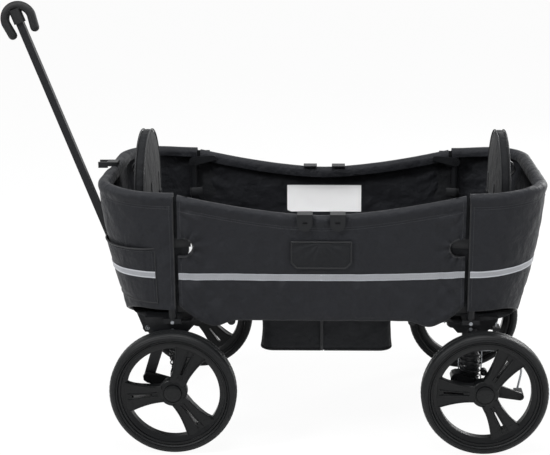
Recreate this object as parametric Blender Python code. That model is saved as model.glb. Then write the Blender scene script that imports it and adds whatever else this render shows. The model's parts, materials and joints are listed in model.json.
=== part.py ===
"""Folding wagon for two seated children, with a pull handle at its front (-X) end.

Everything is modelled with x = 0 at the fold hinge, y = 0 on the wagon's centre plane and z = 0 on the
ground, and hangs on one empty that finally moves the origin to the middle of the wagon's footprint.
Left is the -Y side and right is the +Y side. Lengths are metres and angles are degrees.
"""

import math

import bmesh
import bpy
from mathutils import Matrix, Vector

# Driving dimensions: wheels and axles
WHEEL_RADIUS = 0.145
TYRE_WIDTH = 0.048
TYRE_DEPTH = 0.020
RIM_DEPTH = 0.018
HUB_RADIUS = 0.032
HUB_CAP_RADIUS = 0.020
AXLE_RADIUS = 0.006
WHEEL_CENTRE_Y = 0.276
FRONT_AXLE_X = -0.338
REAR_AXLE_X = 0.372
SPOKE_COUNT = 3
WHEEL_FACETS = 32

# Driving dimensions: frame
POST_X = 0.338
POST_Y = 0.2485
POST_RADIUS = 0.009
POST_FOOT_Z = 0.3123
RAIL_RADIUS = 0.008
TOP_PIVOT_Z = 0.572
LOW_PIVOT_Z = 0.331
FLOOR_RAIL_Y = 0.2245
STUD_RADIUS = 0.004
# A pin is drawn this much thinner where it runs inside another piece.
PIN_EASE = 0.001
EYE_RADIUS = 0.011
EYE_THICKNESS = 0.004
RAIL_END_GAP = 0.020
TOP_RAIL_END_GAP = 0.044
CENTRE_HINGE_REACH = 0.018
CLIP_X = 0.0365
CLIP_WIDTH = 0.034
CLIP_DROP = 0.020
CLIP_PLATE = 0.006
CLIP_WEB_WIDTH = 0.015

# Driving dimensions: fabric body
WALL_Y = 0.2635
WALL_THICKNESS = 0.005
SLEEVE_TOP = 0.004
SLEEVE_LIP = 0.020
END_X = 0.5105
END_TAPER = 0.062
END_HEIGHT = 0.340
STEM_CHANNEL_DEPTH = 0.0125
STEM_CHANNEL_TOP_Z = 0.560
STEM_CHANNEL_FADE = 0.200
CORNER_RADIUS = 0.130
PANEL_HALF_LENGTH = 0.320
WRAP_EDGE_X = 0.3285
RIM_Z_CENTRE = 0.5545
RIM_Z_POST = 0.604
RIM_Z_END = 0.613
HEM_Z_CENTRE = 0.314
HEM_Z_LOW = 0.300
HEM_Z_POST = 0.350
WRAP_HEM_Z_POST = 0.338
WRAP_HEM_LEVEL = 0.2
HEM_Z_END = 0.256
NOTCH_DEPTH = 0.034
NOTCH_Z = 0.484
NOTCH_HEIGHT = 0.040

# Driving dimensions: seats and floor
SEAT_TOP_Z = 0.368
SEAT_HALF_WIDTH = 0.1985
SEAT_CORNER_RADIUS = 0.060
CUSHION_SEAM = 0.003
CUSHION_SIDE_DRAW = 0.002
CUSHION_CROWN = 0.010
CUSHION_CROWN_RUN = 0.036
CUSHION_STEP = 0.002
BASE_RADIUS = 0.0095
BASE_Z = 0.3215
BASE_END_X = 0.428
BASE_BEND_RADIUS = 0.070
BACKREST_WIDTH = 0.285
BACKREST_TOP_Z = 0.700
BACKREST_X = 0.421
BACKREST_THICKNESS = 0.028
BACKREST_CROWN = 0.006
BACKREST_CROWN_RUN = 0.030
FLOOR_INNER_X = 0.170
FLOOR_OUTER_X = 0.307
FLOOR_CUSHION_HALF_WIDTH = 0.186
FLOOR_RAIL_START_X = 0.020
CROSS_TUBE_X = 0.207
CROSS_TUBE_Z = 0.297
FOOTWELL_HALF_LENGTH = 0.152
FOOTWELL_CENTRE_X = 0.010
FOOTWELL_HALF_WIDTH = 0.200
FOOTWELL_BOTTOM_Z = 0.216
FOOTWELL_WALL = 0.004
FOOTWELL_EDGE = 0.006
FOOTWELL_CORNER_RADIUS = 0.024

# Driving dimensions: suspension, casters and brake
FOOT_BOTTOM_Z = 0.270
FOOT_FLANGE_Z = 0.300
FOOT_INNER_Y = 0.190
FRONT_FOOT_OUTER_Y = 0.2445
REAR_FOOT_OUTER_Y = 0.222
POST_SEAT_INNER_Y = 0.215
ARM_LENGTH_X = 0.062
ARM_PIVOT_Z = 0.163
ARM_Y = 0.2335
ARM_THICKNESS = 0.009
ARM_WIDTH = 0.026
LEG_Y = 0.2165
LEG_THICKNESS = 0.022
SWIVEL_X = 0.344
SWIVEL_Y = 0.205
SWIVEL_RADIUS = 0.021
SWIVEL_PIN_RADIUS = 0.006
SOCKET_BOTTOM_Z = 0.236
HEAD_BOTTOM_Z = 0.138
SPRING_X = -0.331
SPRING_RADIUS = 0.0195
SPRING_BOTTOM_Z = 0.178
BRAKE_THICKNESS = 0.006
BRAKE_LENGTH = 0.086

# Driving dimensions: handle
HANDLE_PIVOT_X = -0.432
HANDLE_PIVOT_Z = 0.208
HANDLE_LEAN = 20.3
HANDLE_LENGTH = 0.802
STEM_WIDTH = 0.017
GRIP_RADIUS = 0.0105
GRIP_BEND_RADIUS = 0.032
GRIP_DROP = 0.031
FRONT_TUBE_X = -0.379
FRONT_TUBE_Z = 0.222

# Clearances
SEAT_GAP = 0.0003
RUNNING_GAP = 0.0005
FREE_GAP = 0.002

LEFT = -1
RIGHT = 1
FRONT = -1
REAR = 1
SIDE_NAMES = {LEFT: "left", RIGHT: "right"}
END_NAMES = {FRONT: "front", REAR: "rear"}


def clear_scene():
    """Remove every object that is already in the scene."""
    for thing in list(bpy.data.objects):
        bpy.data.objects.remove(thing, do_unlink=True)


def material(name, colour, roughness, metallic=0.0):
    """Return a Principled material, made once for each name."""
    found = bpy.data.materials.get(name)
    if found:
        return found
    made = bpy.data.materials.new(name)
    made.use_nodes = True
    made.diffuse_color = (*colour, 1.0)
    shader = made.node_tree.nodes["Principled BSDF"]
    shader.inputs["Base Color"].default_value = (*colour, 1.0)
    shader.inputs["Roughness"].default_value = roughness
    shader.inputs["Metallic"].default_value = metallic
    return made


def painted():
    return material("black_paint", (0.013, 0.013, 0.015), 0.45, 0.3)


def plastic():
    return material("black_plastic", (0.016, 0.016, 0.018), 0.55)


def rubber():
    return material("tyre_rubber", (0.012, 0.012, 0.013), 0.75)


def fabric():
    return material("charcoal_fabric", (0.021, 0.021, 0.023), 0.85)


def foam():
    return material("grip_foam", (0.018, 0.018, 0.019), 0.9)


def steel():
    return material("dark_steel", (0.05, 0.05, 0.05), 0.4, 0.9)


def place(name, mesh_data, look, parent, smooth_angle=35.0):
    """Make the finished object of one sub-part from a bmesh and free the bmesh."""
    bmesh.ops.recalc_face_normals(mesh_data, faces=mesh_data.faces[:])
    mesh = bpy.data.meshes.new(name)
    mesh_data.to_mesh(mesh)
    mesh_data.free()
    mesh.materials.append(look)
    mesh.shade_smooth()
    mesh.set_sharp_from_angle(angle=math.radians(smooth_angle))
    thing = bpy.data.objects.new(name, mesh)
    bpy.context.scene.collection.objects.link(thing)
    thing.parent = parent
    thing.matrix_parent_inverse = parent.matrix_world.inverted() if parent else Matrix()
    return thing


def pivot(name, location, parent, rotation=(0.0, 0.0, 0.0)):
    """Make an empty on a joint's axis."""
    made = bpy.data.objects.new(name, None)
    bpy.context.scene.collection.objects.link(made)
    made.location = location
    made.rotation_euler = rotation
    bpy.context.view_layer.update()
    if parent:
        made.parent = parent
        made.matrix_parent_inverse = parent.matrix_world.inverted()
    bpy.context.view_layer.update()
    return made


def add_box(shape, low, high, turn=None):
    """Add a box between two corners to a bmesh."""
    low, high = Vector(low), Vector(high)
    made = bmesh.ops.create_cube(shape, size=1.0)["verts"]
    bmesh.ops.scale(shape, vec=high - low, verts=made)
    bmesh.ops.translate(shape, vec=(low + high) / 2, verts=made)
    if turn:
        bmesh.ops.transform(shape, matrix=turn, verts=made)
    return made


def add_rod(shape, start, end, radius, sides=14, end_radius=None):
    """Add a closed cylinder or cone between two points to a bmesh."""
    start, end = Vector(start), Vector(end)
    run = end - start
    made = bmesh.ops.create_cone(
        shape,
        cap_ends=True,
        segments=sides,
        radius1=radius,
        radius2=radius if end_radius is None else end_radius,
        depth=run.length,
    )["verts"]
    aim = Vector((0, 0, 1)).rotation_difference(run.normalized()).to_matrix().to_4x4()
    bmesh.ops.transform(shape, matrix=Matrix.Translation((start + end) / 2) @ aim, verts=made)
    return made


def add_prism(shape, outline, low_y, high_y):
    """Add a plate whose outline is given as (x, z) points, between two y values."""
    low_y, high_y = sorted((low_y, high_y))
    bottom = [shape.verts.new((x, low_y, z)) for x, z in outline]
    top = [shape.verts.new((x, high_y, z)) for x, z in outline]
    shape.faces.new(bottom)
    shape.faces.new(list(reversed(top)))
    for i in range(len(outline)):
        j = (i + 1) % len(outline)
        shape.faces.new((bottom[i], top[i], top[j], bottom[j]))
    return bottom + top


def add_sweep(shape, sections, closed=False):
    """Join a row of equal rings of points into one skin, capped at the ends unless it is closed."""
    rings = [[shape.verts.new(p) for p in ring] for ring in sections]
    count = len(rings[0])
    pairs = list(zip(rings, rings[1:]))
    if closed:
        pairs.append((rings[-1], rings[0]))
    for a, b in pairs:
        for i in range(count):
            j = (i + 1) % count
            shape.faces.new((a[i], a[j], b[j], b[i]))
    if not closed:
        shape.faces.new(list(reversed(rings[0])))
        shape.faces.new(rings[-1])
    return [v for ring in rings for v in ring]


def tube_rings(path, radius, sides=8):
    """Return circles of points square to a path, turned as little as possible along it."""
    path = [Vector(p) for p in path]
    rings = []
    side = None
    for i, point in enumerate(path):
        before = path[max(i - 1, 0)]
        after = path[min(i + 1, len(path) - 1)]
        along = (after - before).normalized()
        if side is None:
            side = along.orthogonal().normalized()
        else:
            side = (side - along * side.dot(along)).normalized()
        up = along.cross(side)
        turns = [2 * math.pi * k / sides for k in range(sides)]
        rings.append([point + radius * (math.cos(t) * side + math.sin(t) * up) for t in turns])
    return rings


def add_tube(shape, path, radius, sides=8):
    """Add a bent round bar with flat ends to a bmesh."""
    return add_sweep(shape, tube_rings(path, radius, sides))


def bend_path(corners, bend_radius, steps=5):
    """Return a path through corner points with each inner corner rounded as an arc."""
    corners = [Vector(c) for c in corners]
    path = [corners[0]]
    for before, corner, after in zip(corners, corners[1:], corners[2:]):
        back = (before - corner).normalized()
        ahead = (after - corner).normalized()
        half = back.angle(ahead) / 2
        reach = bend_radius / math.tan(half)
        centre = corner + (back + ahead).normalized() * (bend_radius / math.sin(half))
        start = (corner + back * reach - centre).normalized()
        end = (corner + ahead * reach - centre).normalized()
        for k in range(steps + 1):
            path.append(centre + bend_radius * start.slerp(end, k / steps))
    path.append(corners[-1])
    return path


def revolve(shape, profile, centre, steps):
    """Add a closed ring about the Y direction, from (radius, y) points going round its section.

    The radii are measured to the middles of its flats, and one flat faces straight down.
    """
    grow = 1 / math.cos(math.pi / steps)
    sections = []
    for k in range(steps):
        t = 2 * math.pi * (k + 0.5) / steps - math.pi / 2
        x, z = grow * math.cos(t), grow * math.sin(t)
        sections.append([Vector((r * x, y, r * z)) + Vector(centre) for r, y in profile])
    return add_sweep(shape, sections, closed=True)


def solid_from(build):
    """Return a temporary object holding the closed mesh that a function adds to a bmesh."""
    shape = bmesh.new()
    build(shape)
    bmesh.ops.recalc_face_normals(shape, faces=shape.faces[:])
    mesh = bpy.data.meshes.new("tool")
    shape.to_mesh(mesh)
    shape.free()
    tool = bpy.data.objects.new("tool", mesh)
    bpy.context.scene.collection.objects.link(tool)
    return tool


def combine(name, look, parent, first, added=(), removed=(), smooth_angle=35.0):
    """Union and cut closed shapes into the one body of a sub-part.

    Each shape is a function that adds one closed mesh to a bmesh.
    """
    body = solid_from(first)
    steps = [(build, "UNION") for build in added] + [(build, "DIFFERENCE") for build in removed]
    tools = []
    for build, operation in steps:
        tool = solid_from(build)
        tools.append(tool)
        step = body.modifiers.new("step", "BOOLEAN")
        step.operation = operation
        step.solver = "EXACT"
        step.object = tool
    bpy.context.view_layer.update()
    seen = body.evaluated_get(bpy.context.evaluated_depsgraph_get())
    shape = bmesh.new()
    shape.from_mesh(seen.to_mesh())
    seen.to_mesh_clear()
    bmesh.ops.remove_doubles(shape, verts=shape.verts[:], dist=0.00001)
    bmesh.ops.dissolve_degenerate(shape, edges=shape.edges[:], dist=0.00001)
    for tool in tools + [body]:
        bpy.data.objects.remove(tool, do_unlink=True)
    return place(name, shape, look, parent, smooth_angle)


def smooth_step(t):
    """Ease from 0 to 1 with level ends."""
    t = min(max(t, 0.0), 1.0)
    return t * t * (3 - 2 * t)


def link_outline(first, second, radius, second_radius=None, steps=4):
    """Return the (x, z) outline of a flat link with a round end about each of two points."""
    first, second = Vector(first), Vector(second)
    second_radius = radius if second_radius is None else second_radius
    along = math.atan2(second.y - first.y, second.x - first.x)
    outline = []
    ends = ((second, second_radius, along - math.pi / 2), (first, radius, along + math.pi / 2))
    for centre, size, start in ends:
        for k in range(steps + 1):
            t = start + math.pi * k / steps
            outline.append((centre.x + size * math.cos(t), centre.y + size * math.sin(t)))
    return outline


def panel_rim_z(x):
    """Height of a side panel's top edge, which sags between the posts."""
    return RIM_Z_CENTRE + (RIM_Z_POST - RIM_Z_CENTRE) * (abs(x) / POST_X) ** 1.6


def panel_hem_z(x):
    """Height of a side panel's hem: level in the middle, a low round belly, then up to the post."""
    low_x = 0.76 * PANEL_HALF_LENGTH
    if abs(x) < low_x:
        drop = smooth_step((abs(x) - 0.60 * PANEL_HALF_LENGTH) / (low_x - 0.60 * PANEL_HALF_LENGTH))
        return HEM_Z_CENTRE + (HEM_Z_LOW - HEM_Z_CENTRE) * drop
    rise = (abs(x) - low_x) / (PANEL_HALF_LENGTH - low_x)
    return HEM_Z_LOW + (HEM_Z_POST - HEM_Z_LOW) * rise ** 1.5


def end_inset(z):
    """How far an end wrap's outline lies inside its rim outline at a height."""
    drop = max(RIM_Z_END - z, 0.0) / END_HEIGHT
    return END_TAPER * drop ** 1.35


def end_outline(taper, inward=0.0, corner_steps=7, side_steps=2):
    """Plan outline of the rear end wall as (x, y, share) from the left post round to the right post.

    The taper slides the end towards the post and inward offsets the whole outline. The share runs from
    0 at a post to 1 at the middle of the end.
    """
    end_x = END_X - taper
    corner_x = end_x - CORNER_RADIUS
    corner_y = WALL_Y - CORNER_RADIUS
    radius = CORNER_RADIUS - inward
    half = []
    for k in range(side_steps):
        x = WRAP_EDGE_X + (corner_x - WRAP_EDGE_X) * k / side_steps
        half.append((x, inward - WALL_Y))
    for k in range(corner_steps + 1):
        t = math.pi / 2 * k / corner_steps
        half.append((corner_x + radius * math.sin(t), -corner_y - radius * math.cos(t)))
    for y in (corner_y * 0.6, corner_y * 0.28, STEM_WIDTH):
        half.append((end_x - inward, -y))
    half.append((end_x - inward, 0.0))
    lengths = [0.0]
    for (ax, ay), (bx, by) in zip(half, half[1:]):
        lengths.append(lengths[-1] + math.hypot(bx - ax, by - ay))
    left = [(x, y, s / lengths[-1]) for (x, y), s in zip(half, lengths)]
    right = [(x, -y, s) for x, y, s in reversed(left[:-1])]
    return left + right


def end_rim_z(share):
    """Height of an end wrap's top edge, rising a little from the post to the end."""
    return RIM_Z_POST + (RIM_Z_END - RIM_Z_POST) * smooth_step(share / 0.5)


def end_hem_z(share):
    """Height of an end wrap's hem, lowest at the middle of the end."""
    drop = smooth_step((share - WRAP_HEM_LEVEL) / (1 - WRAP_HEM_LEVEL))
    return WRAP_HEM_Z_POST + (HEM_Z_END - WRAP_HEM_Z_POST) * drop


def rim_tube_offset():
    """How far the rim tube's centre lies inside the wall's outer face."""
    return WALL_THICKNESS + RUNNING_GAP + RAIL_RADIUS


def rim_tube_drop():
    """How far the rim tube's centre lies below the sleeve's top."""
    return SLEEVE_TOP + RUNNING_GAP + RAIL_RADIUS


def stem_channel(end, y, z):
    """Depth of the shallow upright channel in the front wrap where the stowed stem lies."""
    if end == REAR or abs(y) > STEM_WIDTH + FREE_GAP:
        return 0.0
    return STEM_CHANNEL_DEPTH * min(max((STEM_CHANNEL_TOP_Z - z) / STEM_CHANNEL_FADE, 0.0), 1.0)


def wall_heights(hem_z, top_z, shoulder_z, steps=4):
    """Heights from a hem up to a shoulder just under the sleeve, and the top."""
    return [hem_z + (shoulder_z - hem_z) * k / steps for k in range(steps + 1)] + [top_z]


def end_wall_section(end, index, inward, heights):
    """One upright row of points of an end wall, at an offset inwards from its outer face."""
    points = []
    for z in heights:
        x, y, _ = end_outline(end_inset(z), inward)[index]
        points.append(Vector((end * (x - stem_channel(end, y, z)), y, z)))
    return points


def end_wrap(end, parent):
    """Padded end wall, U-shaped in plan, with a sleeve that hooks over the rim tube."""
    lip_in = WALL_THICKNESS + 2 * RUNNING_GAP + 2 * RAIL_RADIUS
    sections = []
    for index, (_, _, share) in enumerate(end_outline(0.0)):
        top = end_rim_z(share)
        hem = end_hem_z(share)
        under = top - SLEEVE_TOP
        lip = top - SLEEVE_LIP
        shoulder = lip - SLEEVE_TOP
        outer = end_wall_section(end, index, 0.0, wall_heights(hem, top, shoulder))
        cap = end_wall_section(end, index, lip_in + WALL_THICKNESS / 2, (lip, top))
        lip_inner = end_wall_section(end, index, lip_in, (lip, under))
        inner = end_wall_section(end, index, WALL_THICKNESS, wall_heights(hem, under, shoulder))
        sections.append(outer + list(reversed(cap)) + lip_inner + list(reversed(inner)))
    shape = bmesh.new()
    add_sweep(shape, sections)
    return place(f"{END_NAMES[end]}_end_wrap", shape, fabric(), parent)


def side_panel(side, parent):
    """Hanging side wall between the posts, with a sleeve over the top rails and notches for straps."""
    lip_in = WALL_THICKNESS + 2 * RUNNING_GAP + 2 * RAIL_RADIUS
    stations = 16

    def wall(shape):
        sections = []
        for k in range(stations + 1):
            x = PANEL_HALF_LENGTH * (2 * k / stations - 1)
            top, hem = panel_rim_z(x), panel_hem_z(x)
            profile = [
                (0.0, hem), (0.0, (hem + top) / 2), (0.0, top),
                (lip_in + WALL_THICKNESS / 2, top), (lip_in + WALL_THICKNESS / 2, top - SLEEVE_LIP),
                (lip_in, top - SLEEVE_LIP), (lip_in, top - SLEEVE_TOP),
                (WALL_THICKNESS, top - SLEEVE_TOP), (WALL_THICKNESS, (hem + top) / 2), (WALL_THICKNESS, hem),
            ]
            sections.append([Vector((x, side * (WALL_Y - inward), z)) for inward, z in profile])
        add_sweep(shape, sections)

    def notch(end):
        def build(shape):
            inner_x = PANEL_HALF_LENGTH - NOTCH_DEPTH + NOTCH_HEIGHT / 2
            add_rod(
                shape,
                (end * inner_x, side * (WALL_Y - 2 * WALL_THICKNESS), NOTCH_Z),
                (end * inner_x, side * (WALL_Y + WALL_THICKNESS), NOTCH_Z),
                NOTCH_HEIGHT / 2,
                16,
            )
        return build

    def notch_mouth(end):
        def build(shape):
            inner_x = PANEL_HALF_LENGTH - NOTCH_DEPTH + NOTCH_HEIGHT / 2
            through, slot_half = 2 * WALL_THICKNESS, 0.49 * NOTCH_HEIGHT
            add_box(
                shape,
                (min(end * inner_x, end * POST_X), side * WALL_Y - through, NOTCH_Z - slot_half),
                (max(end * inner_x, end * POST_X), side * WALL_Y + through, NOTCH_Z + slot_half),
            )
        return build

    def spacer_window(end):
        def build(shape):
            inner, _ = eye_y()
            low_y, high_y = sorted((side * (inner - 0.005), side * (WALL_Y - lip_in + 0.001)))
            x_low, x_high = sorted((end * (POST_X - TOP_RAIL_END_GAP - 0.022), end * POST_X))
            middle = panel_rim_z(PANEL_HALF_LENGTH - 0.010) - rim_tube_drop()
            add_box(shape, (x_low, low_y, middle - 0.040), (x_high, high_y, middle + 0.040))
        return build

    def web_slot(end):
        def build(shape):
            half = CLIP_WEB_WIDTH / 2 + 0.001
            centre_y = side * (WALL_Y - rim_tube_offset())
            top = panel_rim_z(CLIP_X)
            add_box(
                shape,
                (end * CLIP_X - half, centre_y - 0.0055, top - SLEEVE_TOP - 0.002),
                (end * CLIP_X + half, centre_y + 0.0055, top + 0.004),
            )
        return build

    cuts = [cut(end) for end in (FRONT, REAR) for cut in (notch, notch_mouth, spacer_window, web_slot)]
    return combine(f"side_panel_{SIDE_NAMES[side]}", fabric(), parent, wall, removed=cuts)


def rim_tube(end, parent):
    """Rim tube of one end, U-shaped in plan, resting on the two post tops."""
    path = []
    for index, (_, _, share) in enumerate(end_outline(0.0)):
        z = end_rim_z(share) - rim_tube_drop()
        x, y, _ = end_outline(end_inset(z), rim_tube_offset())[index]
        path.append((end * x, y, z))
    shape = bmesh.new()
    add_tube(shape, path, RAIL_RADIUS)
    return place(f"{END_NAMES[end]}_rim_tube", shape, painted(), parent)


def post_top_z():
    """Height of a post's flat top, just under the rim tube."""
    return end_rim_z(0.0) - rim_tube_drop() - RAIL_RADIUS - SEAT_GAP


def post(end, side, parent):
    """Upright tube with the two studs that the top rail and the floor frame hinge on."""
    x = end * POST_X

    def tube(shape):
        add_rod(shape, (x, side * POST_Y, POST_FOOT_Z), (x, side * POST_Y, post_top_z()), POST_RADIUS)

    def stud(z):
        def build(shape):
            inner = POST_Y - POST_RADIUS - RUNNING_GAP - EYE_THICKNESS - 0.002
            add_rod(shape, (x, side * inner, z), (x, side * POST_Y, z), STUD_RADIUS, 8)
        return build

    name = f"{END_NAMES[end]}_post_{SIDE_NAMES[side]}"
    return combine(name, painted(), parent, tube, added=[stud(TOP_PIVOT_Z), stud(LOW_PIVOT_Z)])


def eye_y():
    """Inner and outer distance from the centre plane of the eye plates on the posts' inner faces."""
    outer = POST_Y - POST_RADIUS - 2 * RUNNING_GAP
    return outer - EYE_THICKNESS, outer


def top_rail(end, side, parent):
    """Half of a top rail: curved tube, eye plate at the post, lap plate and fabric clip at the centre."""
    tube_y = WALL_Y - rim_tube_offset()
    start_x, end_x = CENTRE_HINGE_REACH, POST_X - TOP_RAIL_END_GAP
    inner, outer = eye_y()
    lap = EYE_THICKNESS + RUNNING_GAP / 2

    def tube(shape):
        path = []
        for k in range(8):
            x = start_x + (end_x - start_x) * k / 7
            path.append((end * x, side * tube_y, panel_rim_z(x) - rim_tube_drop()))
        add_tube(shape, path, RAIL_RADIUS)

    def eye(shape):
        tube_end = (end * (end_x - RAIL_RADIUS), panel_rim_z(end_x) - rim_tube_drop())
        outline = link_outline(tube_end, (end * POST_X, TOP_PIVOT_Z), RAIL_RADIUS - 0.001, EYE_RADIUS)
        add_prism(shape, outline, side * inner, side * outer)

    def spacer(shape):
        z = panel_rim_z(end_x - RAIL_RADIUS) - rim_tube_drop()
        low_y, high_y = sorted((side * inner, side * tube_y))
        x_low, x_high = sorted((end * (end_x - 2 * RAIL_RADIUS), end * (end_x - 0.001)))
        add_box(shape, (x_low, low_y, z - 0.004), (x_high, high_y, z + 0.004))

    def lap_plate(shape):
        far_y = side * (tube_y + lap if end == REAR else tube_y - lap)
        near_y = side * (tube_y + RUNNING_GAP / 2 if end == REAR else tube_y - RUNNING_GAP / 2)
        centre_z = panel_rim_z(0) - rim_tube_drop()
        outline = link_outline((0.0, centre_z), (end * 0.030, centre_z), RAIL_RADIUS - 0.001)
        add_prism(shape, outline, near_y, far_y)

    def centre_pin(shape):
        z = panel_rim_z(0) - rim_tube_drop()
        low, high = (0, side * (tube_y - lap), z), (0, side * (tube_y + lap / 2), z)
        add_rod(shape, low, high, STUD_RADIUS - PIN_EASE, 8)

    def stud_hole(shape):
        add_rod(
            shape,
            (end * POST_X, side * (inner - 0.001), TOP_PIVOT_Z),
            (end * POST_X, side * (outer + 0.001), TOP_PIVOT_Z),
            STUD_RADIUS + RUNNING_GAP,
            8,
        )

    def pin_hole(shape):
        z = panel_rim_z(0) - rim_tube_drop()
        add_rod(
            shape,
            (0, side * (tube_y - 2 * lap), z),
            (0, side * (tube_y + lap), z),
            STUD_RADIUS - PIN_EASE + RUNNING_GAP,
            8,
        )

    clip_x = end * CLIP_X
    clip_half = CLIP_WIDTH / 2
    clip_top = panel_rim_z(CLIP_X + clip_half) + RUNNING_GAP
    clip_face = WALL_Y + SEAT_GAP

    def clip_plate(shape):
        outline = [(clip_x - clip_half, clip_top + 0.003), (clip_x + clip_half, clip_top + 0.003)]
        arc_z = panel_rim_z(0) - rim_tube_drop() - CLIP_DROP + clip_half
        for k in range(11):
            t = -math.pi * k / 10
            outline.append((clip_x + clip_half * math.cos(t), arc_z + clip_half * math.sin(t)))
        add_prism(shape, outline, side * clip_face, side * (clip_face + CLIP_PLATE))

    def clip_top_plate(shape):
        inner_y = tube_y - RAIL_RADIUS - 0.005
        low_y, high_y = sorted((side * (clip_face + CLIP_PLATE - 0.001), side * inner_y))
        add_box(shape, (clip_x - clip_half, low_y, clip_top), (clip_x + clip_half, high_y, clip_top + 0.003))

    def clip_web(shape):
        half = CLIP_WEB_WIDTH / 2
        add_box(
            shape,
            (clip_x - half, side * tube_y - 0.0045, panel_rim_z(0) - rim_tube_drop()),
            (clip_x + half, side * tube_y + 0.0045, clip_top + 0.001),
        )

    def clip_window(shape):
        low_y, high_y = sorted((side * (clip_face + 0.003), side * (clip_face + 2 * CLIP_PLATE)))
        add_box(shape, (clip_x - 0.005, low_y, clip_top - 0.018), (clip_x + 0.005, high_y, clip_top - 0.013))

    name = f"{END_NAMES[end]}_top_rail_{SIDE_NAMES[side]}"
    added = [eye, spacer, lap_plate, clip_web, clip_top_plate, clip_plate]
    holes = [stud_hole, clip_window]
    if end == REAR:
        added.append(centre_pin)
    else:
        holes.append(pin_hole)
    return combine(name, painted(), parent, tube, added=added, removed=holes)


def floor_frame(end, parent):
    """Lower half-rails of both sides, joined by a cross tube that carries the floor cushion."""
    inner, outer = eye_y()
    rail_start, rail_end = FLOOR_RAIL_START_X, POST_X - RAIL_END_GAP

    def left_rail(shape):
        rail(shape, LEFT)

    def rail(shape, side):
        add_rod(
            shape,
            (end * rail_start, side * FLOOR_RAIL_Y, LOW_PIVOT_Z),
            (end * rail_end, side * FLOOR_RAIL_Y, LOW_PIVOT_Z),
            RAIL_RADIUS,
            12,
        )

    def right_rail(shape):
        rail(shape, RIGHT)

    def eye(side):
        def build(shape):
            outline = link_outline(
                (end * (rail_end - RAIL_RADIUS), LOW_PIVOT_Z), (end * POST_X, LOW_PIVOT_Z),
                RAIL_RADIUS - PIN_EASE,
                EYE_RADIUS - 2 * PIN_EASE
            )
            add_prism(shape, outline, side * inner, side * outer)
        return build

    def eye_block(side):
        def build(shape):
            low_y, high_y = sorted((side * inner + side * 0.001, side * FLOOR_RAIL_Y))
            x_low, x_high = sorted((end * (rail_end - 2 * RAIL_RADIUS), end * (rail_end - 0.001)))
            add_box(shape, (x_low, low_y, LOW_PIVOT_Z - 0.005), (x_high, high_y, LOW_PIVOT_Z + 0.005))
        return build

    def stud_hole(side):
        def build(shape):
            add_rod(
                shape,
                (end * POST_X, side * (inner - 0.001), LOW_PIVOT_Z),
                (end * POST_X, side * (outer + 0.001), LOW_PIVOT_Z),
                STUD_RADIUS + RUNNING_GAP,
                8,
            )
        return build

    def cross_tube(shape):
        add_rod(
            shape,
            (end * CROSS_TUBE_X, -FLOOR_RAIL_Y, CROSS_TUBE_Z),
            (end * CROSS_TUBE_X, FLOOR_RAIL_Y, CROSS_TUBE_Z),
            BASE_RADIUS,
            16,
        )

    def hanger(side):
        def build(shape):
            add_rod(
                shape,
                (end * CROSS_TUBE_X, side * FLOOR_RAIL_Y, CROSS_TUBE_Z),
                (end * CROSS_TUBE_X, side * FLOOR_RAIL_Y, LOW_PIVOT_Z),
                RAIL_RADIUS - 0.002,
                12,
            )
        return build

    added = [hanger(LEFT), hanger(RIGHT), cross_tube, right_rail]
    for side in (LEFT, RIGHT):
        added += [eye_block(side), eye(side)]
    name = f"{END_NAMES[end]}_floor_frame"
    holes = [stud_hole(LEFT), stud_hole(RIGHT)]
    return combine(name, painted(), parent, left_rail, added=added, removed=holes)


def base_frame(end, parent):
    """Lower U-shaped tube of one end with a cross tube between the posts, under the seat."""
    end_x = BASE_END_X
    side_y = FOOT_INNER_Y + BASE_RADIUS
    start_x = POST_X - 0.020

    def loop(shape):
        corners = [
            (end * start_x, -side_y, BASE_Z),
            (end * end_x, -side_y, BASE_Z),
            (end * end_x, side_y, BASE_Z),
            (end * start_x, side_y, BASE_Z),
        ]
        add_tube(shape, bend_path(corners, BASE_BEND_RADIUS), BASE_RADIUS)

    def cross_tube(shape):
        left, right = (end * POST_X, -side_y, BASE_Z), (end * POST_X, side_y, BASE_Z)
        add_rod(shape, left, right, BASE_RADIUS - PIN_EASE, 12)

    return combine(f"{END_NAMES[end]}_base_frame", painted(), parent, loop, added=[cross_tube])


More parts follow.
